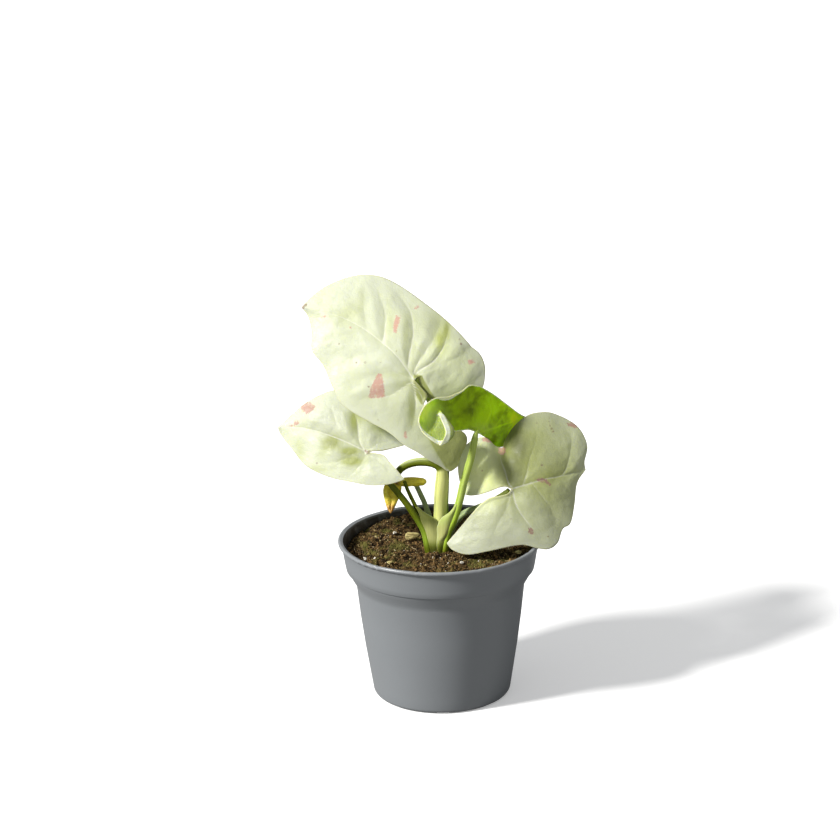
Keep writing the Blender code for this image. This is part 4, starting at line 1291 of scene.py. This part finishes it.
def make_young_leaf(settings):
    """Young leaf that shows its green underside, with a cream margin round its rolled lobe."""
    mesh = leaf_mesh("leaf_young", LEAVES["young"], settings, viewer_sees_back=True)
    place = leaning_place().inverted()
    right, up, near = np.array([place @ vertex.co for vertex in mesh.vertices]).T
    bowl = rise(-right, -15, 10) * rise(near, 24, 5)
    low = rise(-up, -56, 6)
    inner = rise(right, 0.5, 3)
    store(mesh, "cream", CREAM_MARGIN + CREAM_BOWL * bowl * np.maximum(inner, low))
    item = link("leaf_young", mesh)
    for material in (young_back_face(settings), young_inner_face(settings), cut_edge("young_leaf_edge")):
        item.data.materials.append(material)
    thicken(item, settings.thickness)
    return keep(settle(item), "leaf_green", "blade_young")


def make_withered_leaf(settings):
    """Hanging withered blade with its rolled basal lobe."""
    midrib = WITHERED_BLADE["midrib"]
    rows, columns = 40, 12
    rib = evenly(smooth_line(midrib), rows)
    grids = []
    for side in WITHERED_BLADE["sides"]:
        edge = evenly(smooth_line(side + [midrib[-1]]), rows)
        swell = [Vector((0, 0, 0.5 * math.sin(math.pi * step / columns))) for step in range(columns + 1)]
        grids.append([[a.lerp(b, step / columns) + lift for step, lift in enumerate(swell)]
                      for a, b in zip(rib, edge)])
    bm = sheet_bmesh(grids)
    place = leaning_place()
    top, bottom = midrib[0][1], midrib[-1][1]
    joint = Vector(WITHERED_BLADE["brown_joint"])
    along, brown = [], []
    for vert in bm.verts:
        along.append((top - vert.co.y) / (top - bottom))
        brown.append(max(0.0, 1.2 - (vert.co - joint).length / 2.2))
        wrinkle = 0.5 * noise.fractal(vert.co * 0.45, 1.0, 2.0, 3)
        vert.co = place @ (vert.co + Vector((0, 0, wrinkle)))
    mesh = finished_mesh(bm, "leaf_withered")
    store(mesh, "along", along)
    store(mesh, "brown", brown)
    item = link("leaf_withered", mesh)
    item.data.materials.append(withered_finish(settings))
    thicken(item, settings.thickness, 0, 0)
    join_mesh(settle(item), rolled_lobe())
    return keep(item, "leaf_withered", "blade_withered")


def rolled_lobe():
    """Rolled, wrinkled basal lobe of the withered leaf."""
    rings, sides = 48, 28
    widest, rounded = 0.42, 0.9
    path = evenly(smooth_line(WITHERED_BLADE["rolled_lobe"]), rings)
    base, middle, end = WITHERED_BLADE["rolled_radii"]
    verts, along, brown = [], [], []
    for index, (point, (side, up)) in enumerate(zip(path, carried_frames(path))):
        t = index / rings
        if t < widest:
            radius = base + (middle - base) * math.sin(math.pi * min(t * 1.2, 0.5))
        else:
            radius = end + (middle - end) * math.cos(math.pi * (t - widest) / (2 - 2 * widest))
        if t > rounded:
            radius *= min(1.0, math.sqrt(max(0.0, (1.02 - t) / 0.12)))
        for step in range(sides):
            angle = 2 * math.pi * step / sides
            fold = 1 - 0.22 * math.exp(-((angle - 2.2) / 0.35) ** 2) + 0.05 * math.sin(5 * angle + 9 * t)
            verts.append(point + (side * math.cos(angle) + up * math.sin(angle)) * radius * fold)
            along.append(0.25 + 0.3 * (1 - t))
            brown.append(max(0.0, 0.85 - t * 4.2))
    mesh = tube_mesh("rolled_lobe", verts, rings, sides)
    store(mesh, "along", along)
    store(mesh, "brown", brown)
    return mesh


def tube_mesh(name, verts, rings, sides):
    """Close rings of points into a tube, in the part's frame."""
    place = leaning_place()
    faces = []
    for ring in range(rings):
        a, b = ring * sides, (ring + 1) * sides
        for step in range(sides):
            after = (step + 1) % sides
            faces.append((a + step, a + after, b + after, b + step))
    faces.append(tuple(range(sides))[::-1])
    faces.append(tuple(rings * sides + step for step in range(sides)))
    mesh = plain_mesh(name, [place @ point for point in verts], faces)
    face_outwards(mesh)
    return mesh


def carried_frames(path):
    """Two cross directions at each point of a path, carried along it without twisting."""
    before, after = path[:1] + path[:-1], path[1:] + path[-1:]
    tangents = [(b - a).normalized() for a, b in zip(before, after)]
    side = tangents[0].cross(Vector((0, 0, 1))).normalized()
    frames = []
    for tangent in tangents:
        side = (side - tangent * side.dot(tangent)).normalized()
        frames.append((side, side.cross(tangent).normalized()))
    return frames


def join_mesh(item, mesh):
    """Add a loose mesh to an object's own mesh."""
    bm = bmesh.new()
    bm.from_mesh(item.data)
    bm.from_mesh(mesh)
    bm.to_mesh(item.data)
    bm.free()
    bpy.data.meshes.remove(mesh)


def stalk_mesh(name, stalk, settings):
    """Stalk with a shallow channel on its back, slightly swollen at its foot."""
    rings, sides = 90, 28
    first, second = Vector(stalk["path"][0]), Vector(stalk["path"][1])
    buried = first + (first - second).normalized() * STALK_FOOT
    path = evenly(smooth_line([buried] + stalk["path"]), rings)
    base, middle, end = stalk["radii"]
    taper, crest = stalk.get("taper", 1.0), stalk.get("crest", 1.0)
    channel = math.radians(stalk.get("channel", CHANNEL_ANGLE))
    verts, along, groove, lip, spots = [], [], [], [], []
    for index, (point, (side, up)) in enumerate(zip(path, carried_frames(path))):
        t = index / rings
        radius = base + (middle - base) * 2 * t if t < 0.5 else middle + (end - middle) * (2 * t - 1)
        radius *= 0.97 + 0.05 * noise.noise(Vector((t * 6, base, middle)))
        if t > taper:
            radius *= 1 - 0.9 * (t - taper) / (1 - taper)
        flat = 1 + (stalk.get("flat", 1.0) - 1) * clamp((FLAT_END - t) / SECTION_FADE)
        for step in range(sides):
            angle = 2 * math.pi * step / sides
            turn = (angle - channel + math.pi) % (2 * math.pi) - math.pi
            depth = math.exp(-(turn / GROOVE_WIDTH) ** 2)
            outward = side * math.cos(angle) * flat + up * math.sin(angle)
            reach = radius * (1 - settings.groove * depth)
            verts.append(point + outward * reach)
            along.append(t)
            groove.append(depth)
            # The upper side past the crest is painted pale, as painted light
            lip.append(clamp((outward.y - CREST_START) / SECTION_FADE) if t > crest else 0.0)
            spots.append((step / sides, t * len(path) * STREAK_STEP))
    mesh = tube_mesh(name, verts, rings, sides)
    return with_stalk_fields(mesh, along, groove, lip, spots)


def with_stalk_fields(mesh, along, groove, lip, spots):
    """The mesh with the fields and the UV map that a stalk's finish reads."""
    store(mesh, "along", along)
    store(mesh, "groove", groove)
    store(mesh, "lip", lip)
    layer = mesh.uv_layers.new(name="stalk")
    for loop in mesh.loops:
        layer.data[loop.index].uv = spots[loop.vertex_index]
    return mesh


def sheath_mesh(name, rows):
    """Thin sheath that widens a stalk's foot round its neighbours."""
    width = 24
    columns = [smooth_line([row[column] for row in rows], steps=10) for column in range(3)]
    grid = [evenly(smooth_line(points, steps=8), width) for points in zip(*columns)]
    bm = sheet_bmesh([grid])
    place = leaning_place()
    rim = [grid_row[-1] for grid_row in grid]
    lip = [max(0.0, 1 - min((vert.co - point).length for point in rim) / 0.5) for vert in bm.verts]
    height = [vert.co.y for vert in bm.verts]
    for vert in bm.verts:
        vert.co = place @ vert.co
    mesh = finished_mesh(bm, name)
    along = [clamp(value / 20) for value in height]
    # The groove field darkens the sheath towards its foot
    groove = [clamp((5 - value) / 6) for value in height]
    across_scale, up_scale = SHEATH_STREAKS
    spots = [(vertex.co.x * across_scale, vertex.co.z * up_scale) for vertex in mesh.vertices]
    return with_stalk_fields(mesh, along, groove, lip, spots)


def make_stalk(name, stalk, settings):
    """One stalk, with its sheath where it has one."""
    label = name.removeprefix("petiole_")
    colours = [tuple(getattr(settings, colour)) for colour in stalk["colours"]]
    item = link("stalk_" + label, stalk_mesh(name, stalk, settings))
    item.data.materials.append(stalk_finish(item.name + "_skin", colours, stalk["fades"]))
    if name in SHEATHS:
        colours = (SHEATH_FOOT, scaled(settings.pale, 0.62), SHEATH_TOPS[name])
        item.data.materials.append(stalk_finish("sheath_skin_" + label, colours, SHEATH_FADES))
        flap = link("sheath", sheath_mesh("sheath", SHEATHS[name]))
        thicken(flap, settings.sheath_thickness, 0, 0)
        mesh = settle(flap).data
        bpy.data.objects.remove(flap)
        for polygon in mesh.polygons:
            polygon.material_index = 1
        join_mesh(item, mesh)
    return keep(item, stalk["slot"], name)


def arc(centre, radius, start, end, steps):
    """Points of an arc as (radius, height), with angles in degrees."""
    return [(centre[0] + radius * math.cos(math.radians(start + (end - start) * step / steps)),
             centre[1] + radius * math.sin(math.radians(start + (end - start) * step / steps)))
            for step in range(steps + 1)]


def pot_profile(crease_depth):
    """Profile from the underside's centre, up the outside, over the lip and down the inside."""
    ledge = COLLAR_RADIUS - crease_depth
    outside = [(CENTRE_RADIUS, 0), (DRAIN_CIRCLE_RADIUS, 0),
               *arc((FOOT_RADIUS, FOOT_CURVE), FOOT_CURVE, -90, -10, 8),
               (31.2, 5.4), (33.9, 22.8), (35.7, 36.5), (37.2, COLLAR_BOTTOM_Z - 1.2),
               (37.55, COLLAR_BOTTOM_Z), (38.1, COLLAR_BOTTOM_Z + 1.2), (38.9, COLLAR_BOTTOM_Z + 2.6),
               (39.9, COLLAR_BOTTOM_Z + 4.4), (40.6, CREASE_Z - 1.1), (ledge, CREASE_Z - 0.3),
               (ledge, CREASE_Z - 0.05), (COLLAR_RADIUS, CREASE_Z), (41.62, CREASE_Z + 0.15), (42.1, 61.0),
               (42.9, 66.0), (43.4, 68.6), (43.75, 69.5), (44.1, 70.0)]
    over = arc((RIM_RADIUS - LIP_RADIUS, POT_HEIGHT - LIP_RADIUS), LIP_RADIUS, -55, 125, 10)
    inside = [(RIM_RADIUS - 2.1, POT_HEIGHT - 0.45), (42.7, 70.0), (42.5, 69.0), (41.9, 66.0), (41.1, 61.0),
              (40.2, CREASE_Z), (37.4 - WALL, COLLAR_BOTTOM_Z + 0.4), (33.9 - WALL, 22.8),
              (29.6, FLOOR + 1.2), (28.6, FLOOR), (CENTRE_RADIUS, FLOOR)]
    return outside + over + inside


def lip_nick(angle):
    """How far the lip is nicked at an angle in degrees from the front, from 0 to 1."""
    return max(share * math.exp(-((angle - place) / reach) ** 2) for place, reach, share in LIP_NICKS)


def make_pot(settings):
    """Nursery pot with a rolled lip, notched foot and drain holes."""
    profile = pot_profile(settings.crease_depth)
    count = len(profile)
    lip_start = next(index for index, spot in enumerate(profile) if spot[1] > POT_HEIGHT - LIP_BAND)
    lip_end = count - POINTS_BELOW_LIP
    verts, lip, stain, faces = [], [], [], []
    for index in range(POT_SEGMENTS):
        angle = 2 * math.pi * index / POT_SEGMENTS
        nick = settings.nick_depth * lip_nick((math.degrees(angle) + 270) % 360 - 180)
        for step, (radius, height) in enumerate(profile):
            on_lip = lip_start <= step < lip_end
            if on_lip:
                spot = Vector((radius * math.cos(angle), radius * math.sin(angle), 0))
                ripple = 0.35 * noise.noise(spot * 0.16) + 0.15 * noise.noise(spot * 0.7)
                height += settings.lip_ripple * ripple - nick
                radius -= 0.3 * nick
            verts.append(on_ring(radius, angle, height))
            lip.append(float(on_lip))
            # Inner wall points carry the painted shade
            stain.append(float(step >= lip_end))
        a, b = index * count, ((index + 1) % POT_SEGMENTS) * count
        faces += [(a + step, b + step, b + step + 1, a + step + 1) for step in range(count - 1)]
    faces.append(tuple(index * count for index in range(POT_SEGMENTS))[::-1])
    faces.append(tuple(index * count + count - 1 for index in range(POT_SEGMENTS)))
    mesh = plain_mesh("pot", verts, faces)
    store(mesh, "lip", lip)
    store(mesh, "stain", stain)
    item = link("pot", mesh)
    item.data.materials.append(plastic_finish(settings))
    cutter = pot_cutters()
    cut = item.modifiers.new("notches", "BOOLEAN")
    cut.operation = "DIFFERENCE"
    cut.object = cutter
    keep(settle(item), "pot_plastic", "nursery_pot")
    bpy.data.objects.remove(cutter)
    item.data.set_sharp_from_angle(angle=SHARPEST_SMOOTH)
    return item


def pot_cutters():
    """Foot notches and drain holes as one cutting mesh."""
    bm = bmesh.new()
    for index in range(NOTCH_COUNT):
        turn = Matrix.Rotation(2 * math.pi * index / NOTCH_COUNT - math.pi / 2, 4, "Z")
        notch = Matrix.Translation(((FOOT_RADIUS + FOOT_CURVE) * MM, 0, 0))
        size = Matrix.Diagonal((10 * MM, NOTCH_WIDTH * MM, 2 * NOTCH_HEIGHT * MM, 1))
        bmesh.ops.create_cube(bm, size=1.0, matrix=turn @ notch @ size)
        out = Matrix.Translation((DRAIN_CIRCLE_RADIUS * MM, 0, 0))
        hole = Matrix.Rotation(math.pi / NOTCH_COUNT, 4, "Z") @ turn @ out
        bmesh.ops.create_cone(bm, segments=32, cap_ends=True, radius1=DRAIN_HOLE_RADIUS * MM,
                              radius2=DRAIN_HOLE_RADIUS * MM, depth=4 * FLOOR * MM, matrix=hole)
    return link("pot_cutters", finished_mesh(bm, "pot_cutters"))


def soil_height(x, y):
    """Height of the soil's broad surface over a point, in millimetres."""
    broad = 0.35 * math.sin(0.31 * x + 0.8) * math.cos(0.27 * y)
    small = 0.2 * math.sin(0.63 * x - 0.52 * y)
    return SOIL_CENTRE_Z + SOIL_SLOPE * y + broad + small


def crumbly_height(x, y):
    """Height of the soil with its lumps, a small mound at the stalks and a rise at the back."""
    lumps = 1.3 * noise.fractal(Vector((x, y, 3.0)) * 0.32, 0.9, 2.1, 5)
    mound = 1.1 * math.exp(-(x ** 2 + (y + 3) ** 2) / 36)
    bank = clamp((y - 18) / 16)
    return soil_height(x, y) - 0.2 + mound + bank + max(-1.5, min(1.3, lumps))


def on_ring(radius, angle, height):
    """Point in metres, from a radius and a height in millimetres."""
    return radius * math.cos(angle) * MM, radius * math.sin(angle) * MM, height * MM


def ring_angle(ring, step, segments):
    """Angle of a point on a ring, where every other ring is turned by half a step."""
    return 2 * math.pi * (step + 0.5 * (ring % 2)) / segments


def soil_top_grid(edge, rings, segments):
    """Verts and faces of the crumbly top, out to the edge radius."""
    verts = [(0.0, 0.0, crumbly_height(0, 0) * MM)]
    for ring in range(1, rings + 1):
        radius = edge * ring / rings
        for step in range(segments):
            angle = ring_angle(ring, step, segments)
            height = crumbly_height(radius * math.cos(angle), radius * math.sin(angle))
            verts.append(on_ring(radius, angle, height))
    faces = [(0, 1 + step, 1 + (step + 1) % segments) for step in range(segments)]
    for ring in range(rings - 1):
        for step in range(segments):
            a, b = 1 + ring * segments, 1 + (ring + 1) * segments
            after = (step + 1) % segments
            faces.append((a + step, b + step, b + after, a + after))
    return verts, faces


def make_soil_body(settings):
    """Closed body of soil that fills the pot below its crumbly top."""
    rings, segments = 84, 240
    verts, faces = soil_top_grid(SOIL_RADIUS, rings, segments)
    side = [(40.6, 61.0), (39.7, CREASE_Z), (35.9, COLLAR_BOTTOM_Z + 0.4), (32.4, 22.8),
            (28.9, FLOOR + GAP + 1.2), (27.6, FLOOR + GAP)]
    last = 1 + (rings - 1) * segments
    for radius, height in side:
        start = len(verts)
        verts += [on_ring(radius, ring_angle(rings, step, segments), height) for step in range(segments)]
        faces += [(last + step, start + step, start + (step + 1) % segments, last + (step + 1) % segments)
                  for step in range(segments)]
        last = start
    faces.append(tuple(last + step for step in range(segments))[::-1])
    mesh = plain_mesh("soil", verts, faces)
    face_outwards(mesh)
    store(mesh, "tone", [0.0] * len(mesh.vertices))
    item = link("soil", mesh)
    item.data.materials.append(soil_finish("peat_body", settings, lift=0.8))
    return keep(item, "potting_soil", "potting_soil")


def random_value(tree, kind, low, high, seed):
    """A random number or vector between two limits, for each scattered piece."""
    item = add(tree, "FunctionNodeRandomValue", Seed=seed,
               data_type={"VALUE": "FLOAT", "VECTOR": "FLOAT_VECTOR"}[kind])
    plug(tree, low, socket_of(item.inputs, kind, "Min"))
    plug(tree, high, socket_of(item.inputs, kind, "Max"))
    return socket_of(item.outputs, kind)


def vector_times(tree, vector, share):
    """A vector, made longer or shorter by a share."""
    item = add(tree, "ShaderNodeVectorMath", operation="SCALE", Scale=share)
    plug(tree, vector, item.inputs[0])
    return item.outputs["Vector"]


def scatter_tree(name, instance_maker):
    """Geometry tree that scatters small shapes over a surface, with named inputs and a fixed seed."""
    tree = bpy.data.node_groups.new(name, "GeometryNodeTree")
    face = tree.interface
    face.new_socket("Geometry", in_out="INPUT", socket_type="NodeSocketGeometry")
    for label, default in (("Density", 1000.0), ("Smallest", 0.3), ("Largest", 1.0), ("Roughness", 0.0011)):
        face.new_socket(label, in_out="INPUT", socket_type="NodeSocketFloat").default_value = default
    face.new_socket("Seed", in_out="INPUT", socket_type="NodeSocketInt")
    face.new_socket("Finish", in_out="INPUT", socket_type="NodeSocketMaterial")
    face.new_socket("Geometry", in_out="OUTPUT", socket_type="NodeSocketGeometry")
    given = tree.nodes.new("NodeGroupInput").outputs
    points = add(tree, "GeometryNodeDistributePointsOnFaces", Mesh=given["Geometry"],
                 Density=given["Density"], Seed=given["Seed"])
    turn = random_value(tree, "VECTOR", (0, 0, 0), (math.tau, math.tau, math.tau), 0)
    size = random_value(tree, "VALUE", given["Smallest"], given["Largest"], given["Seed"])
    squash = random_value(tree, "VECTOR", (0.65, 0.65, 0.45), (1.35, 1.1, 1.0), 3)
    tone = random_value(tree, "VALUE", 0.0, 1.0, 5)
    placed = add(tree, "GeometryNodeInstanceOnPoints", Points=points.outputs["Points"],
                 Instance=instance_maker(tree), Rotation=turn, Scale=vector_times(tree, squash, size))
    marked = add(tree, "GeometryNodeStoreNamedAttribute", domain="INSTANCE", Name="tone", Value=tone,
                 Geometry=placed.outputs["Instances"])
    real = add(tree, "GeometryNodeRealizeInstances", Geometry=marked.outputs["Geometry"])
    rough = add(tree, "ShaderNodeTexNoise", Scale=1100.0, Detail=1.0)
    centred = add(tree, "ShaderNodeVectorMath", operation="SUBTRACT")
    plug(tree, rough.outputs["Color"], centred.inputs[0])
    plug(tree, (0.5, 0.5, 0.5), centred.inputs[1])
    moved = add(tree, "GeometryNodeSetPosition", Geometry=real.outputs["Geometry"],
                Offset=vector_times(tree, centred.outputs["Vector"], given["Roughness"]))
    dressed = add(tree, "GeometryNodeSetMaterial", Geometry=moved.outputs["Geometry"],
                  Material=given["Finish"])
    plug(tree, dressed.outputs["Geometry"], tree.nodes.new("NodeGroupOutput").inputs["Geometry"])
    return tree


def lump_shape(tree, rounds=2):
    """A ball of a few dozen faces, one millimetre in radius, that is scaled to a crumb's size."""
    return add(tree, "GeometryNodeMeshIcoSphere", Radius=MM, Subdivisions=rounds).outputs["Mesh"]


def crumb_shape(tree):
    """The same ball with only 20 faces."""
    return lump_shape(tree, 1)


def fibre_shape(tree):
    """A bent strand, one millimetre long, as a thin tube."""
    bend = add(tree, "GeometryNodeCurveQuadraticBezier", Resolution=6, Start=(-0.5 * MM, 0, 0),
               Middle=(0, 0.35 * MM, 0.1 * MM), End=(0.5 * MM, 0, 0))
    ring = add(tree, "GeometryNodeCurvePrimitiveCircle", Resolution=4, Radius=0.045 * MM)
    ends = {"Profile Curve": ring.outputs["Curve"], "Fill Caps": True}
    return add(tree, "GeometryNodeCurveToMesh", Curve=bend.outputs["Curve"], **ends).outputs["Mesh"]


def scatter_on_soil(name, tree, slot, **values):
    """Run a scatter tree over the soil's top and keep its result as a plain mesh."""
    rings, segments = 40, 96
    item = link(name, plain_mesh(name, *soil_top_grid(SCATTER_RADIUS, rings, segments)))
    modifier = item.modifiers.new("scatter", "NODES")
    modifier.node_group = tree
    for socket in tree.interface.items_tree:
        if socket.in_out == "INPUT" and socket.name in values:
            modifier[socket.identifier] = values[socket.name]
    return keep(settle(item), slot)


def make_loose_piece(node, material, slot, lumps, swell):
    """Rounded, rough copy of a loose chip or grain."""
    bm = bmesh.new()
    bm.from_mesh(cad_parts[node].data)
    bmesh.ops.remove_doubles(bm, verts=bm.verts, dist=0.01 * MM)
    bmesh.ops.subdivide_edges(bm, edges=bm.edges, cuts=3, use_grid_fill=True)
    bmesh.ops.triangulate(bm, faces=bm.faces)
    relax(bm, bm.verts, 2)
    bm.normal_update()
    low = Vector(sum((vert.co for vert in bm.verts), Vector()) / len(bm.verts))
    low.z = min(vert.co.z for vert in bm.verts)
    for vert in bm.verts:
        vert.co = low + (vert.co - low) * swell
        vert.co += vert.normal * lumps * MM * noise.fractal(vert.co * 900, 1.0, 2.0, 3)
    item = link("loose_" + node, finished_mesh(bm, "loose_" + node))
    item.data.materials.append(material)
    return keep(item, slot, node)


class PLANT_OT_leaves(bpy.types.Operator):
    """Build the three pale leaves"""
    bl_idname = "plant.leaves"
    bl_label = "Pale leaves"

    def execute(self, context):
        for name in ("top", "left", "right"):
            make_leaf(name, context.scene.plant_leaf)
        return {"FINISHED"}


class PLANT_OT_young_leaf(bpy.types.Operator):
    """Build the young green leaf with its rolled lobe"""
    bl_idname = "plant.young_leaf"
    bl_label = "Young leaf"

    def execute(self, context):
        make_young_leaf(context.scene.plant_leaf)
        return {"FINISHED"}


class PLANT_OT_withered_leaf(bpy.types.Operator):
    """Build the withered leaf"""
    bl_idname = "plant.withered_leaf"
    bl_label = "Withered leaf"

    def execute(self, context):
        make_withered_leaf(context.scene.plant_leaf)
        return {"FINISHED"}


class PLANT_OT_stalks(bpy.types.Operator):
    """Build the stalks and their sheaths"""
    bl_idname = "plant.stalks"
    bl_label = "Stalks"

    def execute(self, context):
        for name, stalk in STALKS.items():
            make_stalk(name, stalk, context.scene.plant_stalk)
        return {"FINISHED"}


class PLANT_OT_rootstock(bpy.types.Operator):
    """Finish the rootstock, which keeps its solid's shape"""
    bl_idname = "plant.rootstock"
    bl_label = "Rootstock"

    def execute(self, context):
        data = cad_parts["rootstock"].data
        data.materials.clear()
        data.materials.append(root_finish())
        return {"FINISHED"}


class PLANT_OT_pot(bpy.types.Operator):
    """Build the nursery pot"""
    bl_idname = "plant.pot"
    bl_label = "Nursery pot"

    def execute(self, context):
        make_pot(context.scene.plant_pot)
        return {"FINISHED"}


class PLANT_OT_soil(bpy.types.Operator):
    """Build the soil with its crumbs and fibres"""
    bl_idname = "plant.soil"
    bl_label = "Soil"

    def execute(self, context):
        soil = context.scene.plant_soil
        make_soil_body(soil)
        lumps = scatter_tree("Scatter Lumps", lump_shape)
        crumbs = scatter_tree("Scatter Crumbs", crumb_shape)
        fibres = scatter_tree("Scatter Fibres", fibre_shape)
        peat = soil_finish("peat_crumbs", soil, lift=1.3)
        lump, crumb, fibre = soil.lump_size / MM, soil.crumb_size / MM, soil.fibre_length / MM
        smallest, largest = PERLITE_RADII
        scatter_on_soil("soil_lumps", lumps, "potting_soil", Finish=peat, Density=soil.lump_density,
                        Smallest=0.4 * lump, Largest=lump, Seed=soil.seed, Roughness=LUMP_ROUGHNESS)
        scatter_on_soil("soil_crumbs", crumbs, "potting_soil", Finish=peat, Density=soil.crumb_density,
                        Smallest=0.35 * crumb, Largest=crumb, Seed=soil.seed + 3, Roughness=CRUMB_ROUGHNESS)
        scatter_on_soil("soil_fibres", fibres, "bark", Finish=fibre_finish(), Density=soil.fibre_density,
                        Smallest=0.4 * fibre, Largest=fibre, Seed=soil.seed + 1, Roughness=LUMP_ROUGHNESS)
        scatter_on_soil("perlite_crumbs", lumps, "perlite", Finish=perlite_finish(), Density=PERLITE_DENSITY,
                        Smallest=smallest, Largest=largest, Seed=soil.seed + 2, Roughness=LUMP_ROUGHNESS)
        return {"FINISHED"}


class PLANT_OT_loose_pieces(bpy.types.Operator):
    """Build the bark chips and perlite grains that lie on the soil"""
    bl_idname = "plant.loose_pieces"
    bl_label = "Chips and grains"

    def execute(self, context):
        bark, perlite = bark_finish(), perlite_finish()
        for node in BARK_CHIPS:
            make_loose_piece(node, bark, "bark", lumps=0.35, swell=1.15)
        for node in PERLITE_GRAINS:
            make_loose_piece(node, perlite, "perlite", lumps=0.2, swell=1.1)
        return {"FINISHED"}


class PLANT_OT_stage(bpy.types.Operator):
    """Set up the pale floor, the soft light and the camera"""
    bl_idname = "plant.stage"
    bl_label = "Stage"

    def execute(self, context):
        build_stage(context.scene.plant_stage)
        return {"FINISHED"}


def build_stage(settings):
    """Floor, key light, backdrop and camera."""
    half = settings.floor_size / 2
    corners = [(-half, -half, 0), (half, -half, 0), (half, half, 0), (-half, half, 0)]
    floor = link("floor", plain_mesh("floor", corners, [(0, 1, 2, 3)]))
    material, tree, shader = finish("pale_floor")
    seen = tree.nodes.new("ShaderNodeLightPath").outputs["Is Camera Ray"]
    bounce = (settings.floor_bounce,) * 3
    paint(tree, shader, mix(tree, seen, bounce, (0.86, 0.86, 0.86)), 0.9, 0.1)
    plug(tree, (1, 1, 1), shader.inputs["Emission Color"])
    plug(tree, times(tree, seen, settings.floor_glow), shader.inputs["Emission Strength"])
    floor.data.materials.append(material)

    sun = bpy.data.lights.new("key", "SUN")
    sun.energy = settings.sun_strength
    sun.angle = settings.sun_size
    sun.color = (1.0, 0.985, 0.96)
    link("key", sun).rotation_euler = KEY_DIRECTION.to_track_quat("Z", "Y").to_euler()

    world = bpy.data.worlds.new("studio")
    world.use_nodes = True
    tree = world.node_tree
    backdrop = tree.nodes["Background"].inputs
    looked_at = tree.nodes.new("ShaderNodeLightPath").outputs["Is Camera Ray"]
    seen_strength = times(tree, looked_at, BACKDROP_STRENGTH)
    plug(tree, (0.97, 0.985, 1.0), backdrop["Color"])
    plug(tree, maths(tree, "MAXIMUM", seen_strength, settings.sky_strength), backdrop["Strength"])
    bpy.context.scene.world = world

    data = bpy.data.cameras.new("camera")
    data.sensor_width = SENSOR_WIDTH
    data.lens = FOCAL_PIXELS / PICTURE_PIXELS * SENSOR_WIDTH
    data.clip_end = 50.0
    camera = link("camera", data)
    place = Matrix.Translation(CAMERA_TARGET * MM + TOWARDS_VIEWER * settings.camera_distance)
    camera.matrix_world = (place @ Matrix.Rotation(math.pi / 2 - LEAN, 4, "X")
                           @ Matrix.Rotation(-CAMERA_ROLL, 4, "Z"))
    bpy.context.scene.camera = camera
    bpy.context.scene.view_settings.view_transform = "Standard"


class PLANT_PT_panel(bpy.types.Panel):
    """Buttons that build the plant piece by piece"""
    bl_label = "Potted Arrowhead Plant"
    bl_idname = "PLANT_PT_panel"
    bl_space_type = "VIEW_3D"
    bl_region_type = "UI"
    bl_category = "Plant"

    def draw(self, context):
        for operator in OPERATORS:
            self.layout.operator(operator.bl_idname)
        for label, _ in SETTINGS:
            box = self.layout.box()
            group = getattr(context.scene, label)
            for name in group.bl_rna.properties.keys():
                if name not in ("rna_type", "name"):
                    box.prop(group, name)


SETTINGS = (("plant_leaf", LeafSettings), ("plant_stalk", StalkSettings), ("plant_pot", PotSettings),
            ("plant_soil", SoilSettings), ("plant_stage", StageSettings))
OPERATORS = (PLANT_OT_stage, PLANT_OT_pot, PLANT_OT_soil, PLANT_OT_loose_pieces, PLANT_OT_rootstock,
             PLANT_OT_stalks, PLANT_OT_leaves, PLANT_OT_young_leaf, PLANT_OT_withered_leaf)


def register():
    """Register the settings, the operators and the panel."""
    for label, group in SETTINGS:
        bpy.utils.register_class(group)
        setattr(bpy.types.Scene, label, bpy.props.PointerProperty(type=group))
    for cls in (*OPERATORS, PLANT_PT_panel):
        bpy.utils.register_class(cls)


def unregister():
    """Take away what register added."""
    for cls in (PLANT_PT_panel, *reversed(OPERATORS)):
        bpy.utils.unregister_class(cls)
    for label, group in reversed(SETTINGS):
        delattr(bpy.types.Scene, label)
        bpy.utils.unregister_class(group)


def main():
    """Build everything."""
    register()
    for operator in OPERATORS:
        getattr(bpy.ops.plant, operator.bl_idname.split(".")[1])()


if __name__ == "__main__":
    main()
